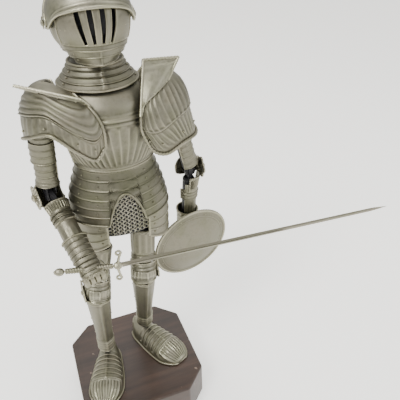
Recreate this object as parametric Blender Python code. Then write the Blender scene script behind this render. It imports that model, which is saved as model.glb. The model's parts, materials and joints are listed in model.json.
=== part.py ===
"""Miniature suit of plate armour on a wooden base, as an assembly of separate plates.

The figure stands on an eight-sided plinth. Its plates hang on a black inner mannequin: a torso,
two legs on rods that run down into the plinth, and two jointed arms. The helmet turns on
the neck, the visor lifts, both arms swing at the shoulder and bend at the elbow, and the sword
slides in the right fist. The left fist carries a round shield.

Frame: origin at the centre of the plinth's underside, +Z up, the figure faces -Y, +X is its left.
Sizes are in millimetres and become metres when a mesh is made. Heights are above the plinth's top.
"""
from math import asin, cos, degrees, pi, radians, sin, sqrt

import bmesh
import bpy
from mathutils import Matrix, Vector

for old in list(bpy.data.objects):
    bpy.data.objects.remove(old, do_unlink=True)

MM = 0.001

# Plinth
BASE_WIDTH = 127.0
BASE_HEIGHT = 40.0
BASE_CHAMFER = 22.0
BASE_EDGE_ROUND = 1.6

# Plates and fits
PLATE = 1.2                 # thickness of an armour plate
GAP = 0.4                   # clearance between pieces that touch
JOINT_GAP = 0.7             # clearance between pieces that move on each other
VISOR_GAP = 1.1             # clearance between the visor and the helmet under it
TORSO_STANDOFF = 2.0        # air between the torso and the inside of its plates
LIMB_STANDOFF = 0.5         # air between a limb and the inside of its plates
ARM_STANDOFF = 2.0          # the same for the roomier arm tubes

# Torso: heights where it changes, and its half width, front depth and back depth there
TORSO_X = 5.5
TORSO_SECTIONS = (
    # height, centre x, half width, front, back
    (184.0, 5.5, 33.0, 22.0, 24.0),
    (194.0, 5.5, 40.0, 31.0, 31.0),
    (210.0, 5.5, 39.5, 32.0, 30.0),
    (226.0, 5.5, 36.0, 30.5, 27.0),
    (240.0, 6.0, 31.0, 27.0, 23.0),
    (249.0, 6.0, 29.5, 26.0, 22.0),
    (258.0, 6.0, 31.5, 30.0, 24.0),
    (272.0, 6.0, 34.5, 34.5, 28.0),
    (288.0, 6.0, 35.5, 36.0, 29.0),
    (302.0, 5.0, 33.0, 32.0, 28.0),
    (311.0, 3.0, 26.0, 25.0, 24.0),
    (316.0, 2.0, 17.0, 17.0, 17.0),
)
WAIST_Z = 249.0
CHEST_BAND_Z = 293.5
FAULD_BOTTOM_Z = 201.0
FAULD_ARCH_Z = 229.0
MAIL_BOTTOM_Z = 187.0
BREAST_ARCH_DROP = 4.0

# Neck, collar and helmet
NECK_X = 2.0
NECK_RADIUS = 6.0
NECK_TOP_Z = 344.0
COLLAR_BOTTOM_Z = 313.5
COLLAR_TOP_Z = 329.5
COLLAR_BOTTOM_RADIUS = 31.0
COLLAR_TOP_RADIUS = 20.5
HELMET_Y = -1.0
HELMET_Z = 357.0
HELMET_HALF_WIDTH = 29.0
HELMET_RADIUS = 30.3
HELMET_BOTTOM_Z = 333.0
BROW_Z = 369.0
FACE_HALF_ANGLE = 62.0
FACE_BOTTOM_Z = 344.0
CHIN_Z = 331.0
CHIN_REACH = 34.0
SLOT_COUNT = 4
SLOT_PITCH = 7.6
SLOT_WIDTH = 3.4
SLOT_BOTTOM_Z = 347.0
COMB_HEIGHT = 3.2
COMB_WIDTH = 2.4
VISOR_LOW_ANGLE = 22.0      # the raised visor's lower edge, above the horizontal
VISOR_HIGH_ANGLE = 82.0
PIVOT_RADIUS = 2.2

# Arms: shoulder, elbow and hand centres
RIGHT_SHOULDER = Vector((-46.0, 0.0, 296.0))
RIGHT_ELBOW = Vector((-50.0, 3.0, 223.0))
RIGHT_HAND = Vector((-33.0, -58.0, 180.0))
LEFT_SHOULDER = Vector((55.0, 0.0, 296.0))
LEFT_ELBOW = Vector((74.5, 8.0, 216.0))
LEFT_HAND = Vector((71.5, 16.0, 139.0))
ARM_RADIUS = 5.6
WRIST_RADIUS = 5.2
ELBOW_CLEAR = 13.8          # nothing but the elbow cap comes nearer to the elbow than this
ELBOW_CAP_RADIUS = 13.0
ELBOW_FORK_GAP = 5.2
ELBOW_PIN_RADIUS = 1.5
SHOULDER_ROD_RADIUS = 2.5
FIST_RADIUS = 11.0
FIST_LENGTH = 23.0
CUFF_LENGTH = 20.0

# Shoulder plates, measured from the shoulder's centre line outwards on one side
PAULDRON_BASE_Z = 285.0
PAULDRON_TOP_Z = 317.5
PAULDRON_CENTRE_IN = 8.0    # the dome's centre is this much nearer to the neck than the arm is
RIGHT_PAULDRON = (
    # towards the neck (+) or away from it (-), y around the dome's centre, height of its edge
    (11.0, 32.0, 270.0), (-5.0, 29.0, 266.0), (-18.0, 17.0, 268.0), (-22.0, 1.0, 276.0),
    (-18.0, -19.0, 284.0), (-4.0, -36.0, 290.0), (12.0, -42.0, 277.0), (25.0, -42.5, 268.0),
    (33.0, -40.0, 276.0),
)
LEFT_PAULDRON = (
    (11.0, 32.0, 270.0), (-5.0, 29.0, 266.0), (-20.0, 18.0, 262.0), (-25.5, 1.0, 261.0),
    (-20.0, -20.0, 263.0), (-4.0, -36.0, 265.0), (12.0, -41.5, 261.0), (22.0, -41.5, 266.0),
    (25.0, -40.0, 280.0),
)
# Upright neck guards: where the foot runs on the pauldron, and the two ends of the top edge
RIGHT_HAUTE_FOOT = ((1.0, 0.71), (0.87, 0.83), (0.58, 0.86))
RIGHT_HAUTE_RIM = (Vector((-16.0, -34.0, 311.5)), Vector((-58.0, -10.0, 320.0)))
LEFT_HAUTE_FOOT = ((1.0, 0.37), (0.93, 0.59), (0.81, 0.76), (0.62, 0.88))
LEFT_HAUTE_RIM = (Vector((33.4, -18.0, 328.3)), Vector((60.5, -18.0, 327.0)))
HAUTE_GAP = 0.7              # air between a haute-piece and the pauldron it stands on

# Legs: hip, knee, ankle and toe centres
RIGHT_HIP = Vector((-14.0, -2.0, 184.0))
RIGHT_KNEE = Vector((-28.5, -12.0, 120.0))
RIGHT_ANKLE = Vector((-28.0, 2.0, 27.0))
RIGHT_TOE = Vector((-44.0, -50.0, 0.0))
LEFT_HIP = Vector((24.0, -2.0, 184.0))
LEFT_KNEE = Vector((17.5, -13.0, 128.0))
LEFT_ANKLE = Vector((19.0, 21.0, 27.0))
LEFT_TOE = Vector((46.0, -28.0, 0.0))
LEG_RADIUS = 8.2
SHIN_RADIUS = 7.4
LEG_ROD_RADIUS = 4.0
LEG_ROD_DEPTH = 22.0        # how far a rod runs into the plinth
BOLT_RADIUS = 2.2
BOLT_HEAD_RADIUS = 5.0
BOLT_HEAD_DEPTH = 6.0
FOOT_HALF_WIDTH = 17.5
FOOT_HEEL_LENGTH = 17.0
FOOT_HEIGHT = 22.0

# Sword: along the grip, then along the blade, which is set at a slight angle to it
POMMEL = Vector((-56.5, -57.0, 187.5))
GUARD = Vector((-12.5, -63.0, 184.3))
BLADE_TIP = Vector((216.0, -96.0, 200.5))
GRIP_RADIUS = 2.5
TANG_RADIUS = 1.1
POMMEL_RADIUS = 4.0
GUARD_HALF_SPAN = 15.0
GUARD_HUB_RADIUS = 3.2
GUARD_ARM_RADIUS = 1.1
BLADE_WIDTH = 5.0
BLADE_THICKNESS = 1.8

# Shield
SHIELD_CENTRE = Vector((71.5, 2.0, 135.5))
SHIELD_NORMAL = Vector((0.168, -0.974, -0.148)).normalized()
SHIELD_RADIUS = 40.6
SHIELD_DOME = 7.0
SHIELD_RIM = 2.6
HANDLE_RADIUS = 2.0
HANDLE_SPAN = 34.0

METAL = (0.46, 0.44, 0.37, 1.0)
DARK_METAL = (0.30, 0.29, 0.25, 1.0)
BRIGHT_METAL = (0.60, 0.58, 0.50, 1.0)
BLACK = (0.010, 0.010, 0.012, 1.0)
WOOD = (0.075, 0.045, 0.032, 1.0)

X_AXIS = Vector((1.0, 0.0, 0.0))
Y_AXIS = Vector((0.0, 1.0, 0.0))
Z_AXIS = Vector((0.0, 0.0, 1.0))


def material(name, colour, roughness, metallic):
    made = bpy.data.materials.new(name)
    made.use_nodes = True
    shader = made.node_tree.nodes["Principled BSDF"]
    shader.inputs["Base Color"].default_value = colour
    shader.inputs["Roughness"].default_value = roughness
    shader.inputs["Metallic"].default_value = metallic
    return made


FINISHES = {
    "metal": (METAL, 0.38, 1.0),
    "dark_metal": (DARK_METAL, 0.5, 1.0),
    "bright_metal": (BRIGHT_METAL, 0.28, 1.0),
    "black": (BLACK, 0.7, 0.0),
    "wood": (WOOD, 0.4, 0.0),
}


def place(name, bm, finish, origin=None, smooth=35.0):
    """Turn millimetres above the plinth into a metre object whose origin is given."""
    lift = Vector((0.0, 0.0, BASE_HEIGHT))
    origin = Vector((0.0, 0.0, 0.0)) if origin is None else (origin + lift) * MM
    for vert in bm.verts:
        vert.co = (vert.co + lift) * MM - origin
    bmesh.ops.remove_doubles(bm, verts=bm.verts, dist=1e-6)
    bmesh.ops.recalc_face_normals(bm, faces=bm.faces)
    mesh = bpy.data.meshes.new(name)
    bm.to_mesh(mesh)
    bm.free()
    mesh.shade_smooth()
    mesh.set_sharp_from_angle(angle=radians(smooth))
    made = bpy.data.objects.new(name, mesh)
    bpy.context.scene.collection.objects.link(made)
    made.location = origin
    made.data.materials.append(material(name, *FINISHES[finish]))
    return made


def cut(target, cutter_bm, name, operation="DIFFERENCE"):
    """Keep a Boolean on the target, with a hidden wire cutter."""
    lift = Vector((0.0, 0.0, BASE_HEIGHT))
    for vert in cutter_bm.verts:
        vert.co = (vert.co + lift) * MM
    bmesh.ops.recalc_face_normals(cutter_bm, faces=cutter_bm.faces)
    mesh = bpy.data.meshes.new(name)
    cutter_bm.to_mesh(mesh)
    cutter_bm.free()
    cutter = bpy.data.objects.new(name, mesh)
    bpy.context.scene.collection.objects.link(cutter)
    cutter.hide_render = True
    cutter.display_type = "WIRE"
    boolean = target.modifiers.new(name, "BOOLEAN")
    boolean.operation = operation
    boolean.solver = "EXACT"
    boolean.object = cutter


def side_vectors(direction, hint=Y_AXIS):
    """Two unit vectors across a direction, the first as near to the hint as can be."""
    first = hint - direction * hint.dot(direction)
    first.normalize()
    return first, direction.cross(first).normalized()


def skin(bm, rings, closed_ring=True, caps=True):
    """Join rings of points with quads, and cap the first and last ring."""
    rows = [[bm.verts.new(point) for point in ring] for ring in rings]
    count = len(rows[0])
    last = count if closed_ring else count - 1
    for row, following in zip(rows, rows[1:]):
        for i in range(last):
            j = (i + 1) % count
            bm.faces.new((row[i], row[j], following[j], following[i]))
    if caps:
        bm.faces.new(reversed(rows[0]))
        bm.faces.new(rows[-1])
    return rows


def circle(centre, first, second, radius, sides, second_radius=None):
    across = radius if second_radius is None else second_radius
    turns = [2.0 * pi * i / sides for i in range(sides)]
    return [centre + first * (radius * cos(a)) + second * (across * sin(a)) for a in turns]


def rod(bm, stations, sides=12, hint=Y_AXIS):
    """A solid rod through stations of centre and radius, rings square to the run."""
    rings = []
    for i, (centre, radius) in enumerate(stations):
        before = stations[max(i - 1, 0)][0]
        after = stations[min(i + 1, len(stations) - 1)][0]
        first, second = side_vectors((after - before).normalized(), hint)
        rings.append(circle(centre, first, second, radius, sides))
    skin(bm, rings)


def tube(bm, start, end, start_radius, end_radius, wall=PLATE, sides=12, steps=1, belly=0.0):
    """An open round tube; belly swells its middle."""
    direction = (end - start).normalized()
    first, second = side_vectors(direction)
    outer = []
    inner = []
    for i in range(steps + 1):
        t = i / steps
        radius = start_radius + (end_radius - start_radius) * t + belly * sin(pi * t)
        centre = start.lerp(end, t)
        outer.append(circle(centre, first, second, radius, sides))
        inner.append(circle(centre, first, second, radius - wall, sides))
    skin(bm, outer + inner[::-1] + outer[:1], caps=False)


def lathe(bm, centre, axis, profile, sides=24, closed=True):
    """Turn a profile of (radius, height) about an axis; a closed profile makes a ring."""
    first, second = side_vectors(axis, Y_AXIS if abs(axis.dot(Y_AXIS)) < 0.9 else X_AXIS)
    rings = []
    for radius, height in profile:
        spot = centre + axis * height
        rings.append(circle(spot, first, second, max(radius, 0.0), sides))
    if closed:
        skin(bm, rings + rings[:1], caps=False)
    else:
        skin(bm, rings)


def plate(bm, point, u_steps, v_steps, thickness=PLATE, inward=None):
    """A curved plate: point(u, v) gives its outer face for u and v from 0 to 1."""
    tiny = 1e-3
    outer = []
    inner = []
    for i in range(u_steps + 1):
        outer_row = []
        inner_row = []
        for j in range(v_steps + 1):
            u = i / u_steps
            v = j / v_steps
            here = point(u, v)
            along_u = point(min(u + tiny, 1.0), v) - point(max(u - tiny, 0.0), v)
            along_v = point(u, min(v + tiny, 1.0)) - point(u, max(v - tiny, 0.0))
            normal = along_u.cross(along_v).normalized()
            if normal.dot(inward(here)) > 0.0:
                normal = -normal
            outer_row.append(here)
            inner_row.append(here - normal * thickness)
        outer.append(outer_row)
        inner.append(inner_row)
    outer = [[bm.verts.new(spot) for spot in row] for row in outer]
    inner = [[bm.verts.new(spot) for spot in row] for row in inner]
    for i in range(u_steps):
        for j in range(v_steps):
            bm.faces.new((outer[i][j], outer[i + 1][j], outer[i + 1][j + 1], outer[i][j + 1]))
            bm.faces.new((inner[i][j], inner[i][j + 1], inner[i + 1][j + 1], inner[i + 1][j]))
        for j in (0, v_steps):
            bm.faces.new((outer[i][j], inner[i][j], inner[i + 1][j], outer[i + 1][j]))
    for j in range(v_steps):
        for i in (0, u_steps):
            bm.faces.new((outer[i][j], outer[i][j + 1], inner[i][j + 1], inner[i][j]))


def box(bm, centre, half_x, half_y, half_z, turn=None):
    matrix = Matrix.Translation(centre)
    if turn is not None:
        matrix = matrix @ turn
    scale = Matrix.Diagonal((2.0 * half_x, 2.0 * half_y, 2.0 * half_z, 1.0))
    bmesh.ops.create_cube(bm, size=1.0, matrix=matrix @ scale)


def interpolate(sections, z):
    """Smoothly read a table of sections at height z."""
    if z <= sections[0][0]:
        return sections[0][1:]
    for low, high in zip(sections, sections[1:]):
        if z <= high[0]:
            t = (z - low[0]) / (high[0] - low[0])
            t = t * t * (3.0 - 2.0 * t) * 0.35 + t * 0.65
            return tuple(a + (b - a) * t for a, b in zip(low[1:], high[1:]))
    return sections[-1][1:]


def torso_point(angle, z, grow):
    """A point on the torso; angle 0 is the front and turns towards the figure's left."""
    centre_x, half_width, front, back = interpolate(TORSO_SECTIONS, z)
    depth = front if cos(angle) > 0.0 else back
    x = centre_x + (half_width + grow) * sin(angle)
    y = -(depth + grow) * cos(angle)
    return Vector((x, y, z))


def to_torso_axis(point):
    return Vector((TORSO_X - point.x, -point.y, 0.0))


# ---------------------------------------------------------------- plinth and legs

def make_base():
    half = BASE_WIDTH / 2.0
    inset = half - BASE_CHAMFER
    outline = [(half, -inset), (half, inset), (inset, half), (-inset, half),
               (-half, inset), (-half, -inset), (-inset, -half), (inset, -half)]

    def ring(shrink, z):
        factor = (half - shrink) / half
        return [Vector((x * factor, y * factor, z)) for x, y in outline]

    bm = bmesh.new()
    skin(bm, [ring(0.0, -BASE_HEIGHT), ring(0.0, -BASE_EDGE_ROUND),
              ring(0.4 * BASE_EDGE_ROUND, -0.35 * BASE_EDGE_ROUND), ring(BASE_EDGE_ROUND, 0.0)])
    base = place("wooden_base", bm, "wood", smooth=50.0)
    for side, ankle in (("right", RIGHT_ANKLE), ("left", LEFT_ANKLE)):
        hole = bmesh.new()
        foot = Vector((ankle.x, ankle.y, 0.0))
        rod_radius = LEG_ROD_RADIUS + GAP
        shank = BOLT_RADIUS + GAP
        head = BOLT_HEAD_RADIUS + GAP
        lathe(hole, foot, Z_AXIS, (
            (rod_radius, 1.0), (rod_radius, -LEG_ROD_DEPTH - GAP), (shank, -LEG_ROD_DEPTH - GAP),
            (shank, -BASE_HEIGHT + BOLT_HEAD_DEPTH), (head, -BASE_HEIGHT + BOLT_HEAD_DEPTH),
            (head, -BASE_HEIGHT - 1.0)), sides=16, closed=False)
        cut(base, hole, side + "_leg_hole")


def make_leg_bolts():
    """Two round-headed bolts, sunk into the plinth's underside below the legs."""
    for side, ankle in (("right", RIGHT_ANKLE), ("left", LEFT_ANKLE)):
        bm = bmesh.new()
        foot = Vector((ankle.x, ankle.y, 0.0))
        top = -LEG_ROD_DEPTH - 2.0 * GAP
        seat = -BASE_HEIGHT + BOLT_HEAD_DEPTH - GAP
        lathe(bm, foot, Z_AXIS, (
            (BOLT_RADIUS, top), (BOLT_RADIUS, seat), (BOLT_HEAD_RADIUS, seat),
            (BOLT_HEAD_RADIUS, seat - 2.4), (0.6 * BOLT_HEAD_RADIUS, seat - 3.4)),
            sides=12, closed=False)
        place(side + "_leg_bolt", bm, "dark_metal")


def foot_section(t):
    """Half width and height of the broad shoe, from heel (0) to toe (1)."""
    width = FOOT_HALF_WIDTH * (0.56 + 0.44 * sin(pi * min(t * 0.62 + 0.05, 0.62)) ** 1.5)
    if t > 0.72:
        width *= sqrt(max(1.0 - ((t - 0.72) / 0.30) ** 2, 0.05))
    if t < 0.18:
        width *= sqrt(max(1.0 - ((0.18 - t) / 0.22) ** 2, 0.05))
    height = FOOT_HEIGHT * (1.0 - 0.52 * t ** 1.3)
    if t > 0.8:
        height *= 1.0 - 0.9 * ((t - 0.8) / 0.2) ** 2 * 0.62
    return width, height


def make_leg(side, hip, knee, ankle, toe, outward):
    foot = Vector((ankle.x, ankle.y, 0.0))
    rod_bottom = foot - Z_AXIS * LEG_ROD_DEPTH
    core = bmesh.new()
    knee_top = knee + (hip - knee).normalized() * 10.0
    knee_low = knee + (ankle - knee).normalized() * 10.0
    rod(core, [
        (rod_bottom, LEG_ROD_RADIUS), (foot + Z_AXIS * 20.0, LEG_ROD_RADIUS),
        (ankle + Z_AXIS * 2.0, SHIN_RADIUS - 1.6), (ankle.lerp(knee, 0.25), SHIN_RADIUS),
        (knee_low, SHIN_RADIUS + 0.6), (knee_top, LEG_RADIUS), (hip, LEG_RADIUS)])
    place(side + "_leg_core", core, "black")

    heading = Vector((toe.x - foot.x, toe.y - foot.y, 0.0))
    length = heading.length
    heading.normalize()
    across = Vector((-heading.y, heading.x, 0.0))
    rings = []
    steps = 9
    for i in range(steps + 1):
        t = i / steps
        width, height = foot_section(t)
        spot = foot + heading * (-FOOT_HEEL_LENGTH + t * (length + FOOT_HEEL_LENGTH))
        arch = []
        for k in range(9):
            a = pi * k / 8.0
            arch.append(spot + across * (width * cos(a))
                        + Z_AXIS * (GAP + 1.2 + (height - 1.2) * sin(a) ** 0.8))
        arch.append(spot - across * width + Z_AXIS * GAP)
        arch.append(spot + across * width + Z_AXIS * GAP)
        rings.append(arch)
    shoe = bmesh.new()
    skin(shoe, rings)
    sabaton = place(side + "_sabaton", shoe, "metal")
    hole = bmesh.new()
    lathe(hole, foot, Z_AXIS, ((LEG_ROD_RADIUS + GAP, -2.0), (LEG_ROD_RADIUS + GAP, 40.0)),
          sides=16, closed=False)
    cut(sabaton, hole, side + "_shoe_hole")

    thigh_way = (hip - knee).normalized()
    shin_way = (ankle - knee).normalized()
    greave = bmesh.new()
    tube(greave, knee + shin_way * 16.5, ankle - shin_way * 1.0 + Z_AXIS * 0.5,
         SHIN_RADIUS + 4.2, SHIN_RADIUS + 2.2, steps=3, belly=1.0)
    place(side + "_greave", greave, "metal")

    cuisse = bmesh.new()
    tube(cuisse, knee + thigh_way * 14.5, knee + thigh_way * 46.0,
         LEG_RADIUS + 2.9, LEG_RADIUS + 3.9)
    place(side + "_cuisse", cuisse, "metal")

    def cap_point(u, v):
        sideways = radians(-112.0 + 224.0 * u)
        t = 2.0 * v - 1.0
        way = thigh_way if t > 0.0 else shin_way
        spot = knee + way * (abs(t) * 12.6)
        out = 12.1 + 2.4 * cos(t * pi / 2.0) * max(cos(sideways), 0.0)
        first, second = side_vectors(thigh_way, -Y_AXIS)
        return spot + (first * cos(sideways) + second * sin(sideways)) * out

    cap = bmesh.new()
    plate(cap, cap_point, 9, 5, inward=lambda p: knee - p)
    poleyn = place(side + "_poleyn", cap, "metal")

    wing = bmesh.new()
    outside = Vector((outward, 0.0, 0.0))
    centre = knee + outside * 11.5
    turns = [pi * k / 10.0 for k in range(11)]
    outline = [(11.0 * cos(a), -4.0 + 9.0 * sin(a)) for a in turns] + [(-8.0, -6.0), (8.0, -6.0)]
    rings = []
    for offset in (0.0, PLATE):
        rings.append([centre + outside * offset - Y_AXIS * y * 0.9 + Z_AXIS * z
                      for z, y in outline])
    skin(wing, rings)
    cut(poleyn, wing, side + "_knee_wing", operation="UNION")

    def tasset_point(u, v):
        sideways = radians(25.0 + 85.0 * u) * outward
        z = FAULD_BOTTOM_Z - 1.2 - v * (30.0 - 12.0 * abs(2.0 * u - 0.9) ** 2)
        grow = TORSO_STANDOFF + PLATE + 0.6 - 1.5 * v
        base = torso_point(sideways, max(z, 196.0), grow)
        return Vector((base.x, base.y, z))

    tasset = bmesh.new()
    plate(tasset, tasset_point, 8, 4, inward=to_torso_axis)
    place(side + "_tasset", tasset, "metal")


# ---------------------------------------------------------------- torso

def make_torso():
    heights = [section[0] for section in TORSO_SECTIONS]
    rings = []
    turns = [2.0 * pi * i / 20.0 for i in range(20)]
    for height in heights:
        rings.append([torso_point(angle, height, 0.0) for angle in turns])
    neck = Vector((NECK_X, 0.0, 0.0))
    for radius, z in ((NECK_RADIUS, heights[-1] + 3.0), (NECK_RADIUS, NECK_TOP_Z)):
        rings.append([neck + Vector((radius * sin(angle), -radius * cos(angle), z))
                      for angle in turns])
    body = bmesh.new()
    skin(body, rings)
    torso = place("torso_core", body, "black")
    for side, hip, knee in (("right", RIGHT_HIP, RIGHT_KNEE), ("left", LEFT_HIP, LEFT_KNEE)):
        socket = bmesh.new()
        way = (hip - knee).normalized()
        rod(socket, [(knee, LEG_RADIUS + GAP), (hip + way * GAP, LEG_RADIUS + GAP)])
        cut(torso, socket, side + "_hip_socket")
    hole = bmesh.new()
    rod(hole, [(RIGHT_SHOULDER, SHOULDER_ROD_RADIUS + GAP),
               (LEFT_SHOULDER, SHOULDER_ROD_RADIUS + GAP)], sides=12)
    cut(torso, hole, "shoulder_hole")


def make_torso_plates():
    outside = TORSO_STANDOFF + PLATE

    def breast(u, v):
        angle = radians(-76.0 + 152.0 * u)
        z = CHEST_BAND_Z + GAP + v * (312.0 - CHEST_BAND_Z)
        return torso_point(angle, z, outside)

    def belly(u, v):
        angle = radians(-79.0 + 158.0 * u)
        low = WAIST_Z + BREAST_ARCH_DROP * (1.0 - cos(angle)) * 0.3
        return torso_point(angle, low + v * (CHEST_BAND_Z - low), outside)

    def back(u, v):
        armhole = 17.0 * min(max((v - 0.25) / 0.3, 0.0), 1.0)
        angle = radians(82.0 + armhole + (196.0 - 2.0 * armhole) * u)
        return torso_point(angle, WAIST_Z + 1.0 + v * (311.5 - WAIST_Z), outside)

    for name, shape, steps in (("breastplate", breast, 3), ("plackart", belly, 5),
                               ("backplate", back, 6)):
        bm = bmesh.new()
        plate(bm, shape, 14, steps, inward=to_torso_axis)
        place(name, bm, "metal")


def make_fauld():
    """Skirt of hoops below the waist, cut up into an arch in front, where the mail shows."""
    outside = TORSO_STANDOFF + PLATE + 0.4
    steps = 32
    outer = []
    inner = []
    for i in range(steps):
        angle = 2.0 * pi * i / steps
        folded = min(angle, 2.0 * pi - angle)
        rise = max(cos(min(folded / radians(27.0), 1.0) * pi / 2.0), 0.0) ** 0.6
        low = FAULD_BOTTOM_Z + (FAULD_ARCH_Z - FAULD_BOTTOM_Z) * rise
        top = WAIST_Z - 1.8
        heights = [low + (top - low) * k / 3.0 for k in range(4)]
        outer.append([torso_point(angle, z, outside) for z in heights])
        inner.append([torso_point(angle, z, outside - PLATE) for z in heights])
    bm = bmesh.new()
    loops = [row + back[::-1] for row, back in zip(outer, inner)]
    skin(bm, loops + loops[:1], caps=False)
    place("fauld", bm, "metal")


def make_mail():
    def mail(u, v):
        angle = radians(-27.0 + 54.0 * u)
        z = MAIL_BOTTOM_Z + v * (WAIST_Z - 10.0 - MAIL_BOTTOM_Z)
        spot = torso_point(angle, max(z, 194.0), TORSO_STANDOFF - 0.5)
        return Vector((spot.x, spot.y, z))

    bm = bmesh.new()
    plate(bm, mail, 8, 6, thickness=1.0, inward=to_torso_axis)
    place("mail_skirt", bm, "dark_metal")


def make_collar():
    """Flared collar around the neck, in one turned piece with three steps."""
    neck = Vector((NECK_X, 0.0, 0.0))
    steps = 3
    outer = []
    for i in range(steps + 1):
        t = i / steps
        radius = COLLAR_TOP_RADIUS + (COLLAR_BOTTOM_RADIUS - COLLAR_TOP_RADIUS) * (1.0 - t) ** 1.3
        outer.append((radius, COLLAR_BOTTOM_Z + t * (COLLAR_TOP_Z - COLLAR_BOTTOM_Z)))
    inner = [(radius - PLATE, z) for radius, z in outer]
    bm = bmesh.new()
    lathe(bm, neck, Z_AXIS, outer + inner[::-1], sides=24)
    place("gorget", bm, "metal")


# ---------------------------------------------------------------- helmet

def egg(longitude, latitude, grow=0.0):
    """A point of the helmet's rounded shape; longitude 0 is the front, latitude 90 the top."""
    centre = Vector((NECK_X, HELMET_Y, HELMET_Z))
    radius = HELMET_RADIUS + grow
    width = HELMET_HALF_WIDTH + grow
    return centre + Vector((width * cos(latitude) * sin(longitude),
                            -radius * cos(latitude) * cos(longitude),
                            radius * sin(latitude)))


def egg_solid(bm, grow, low_latitude=-pi / 2.0, sides=18, steps=7):
    rings = []
    for i in range(steps + 1):
        latitude = low_latitude + (pi / 2.0 - 0.12 - low_latitude) * i / steps
        rings.append([egg(2.0 * pi * k / sides, latitude, grow) for k in range(sides)])
    skin(bm, rings)


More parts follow.
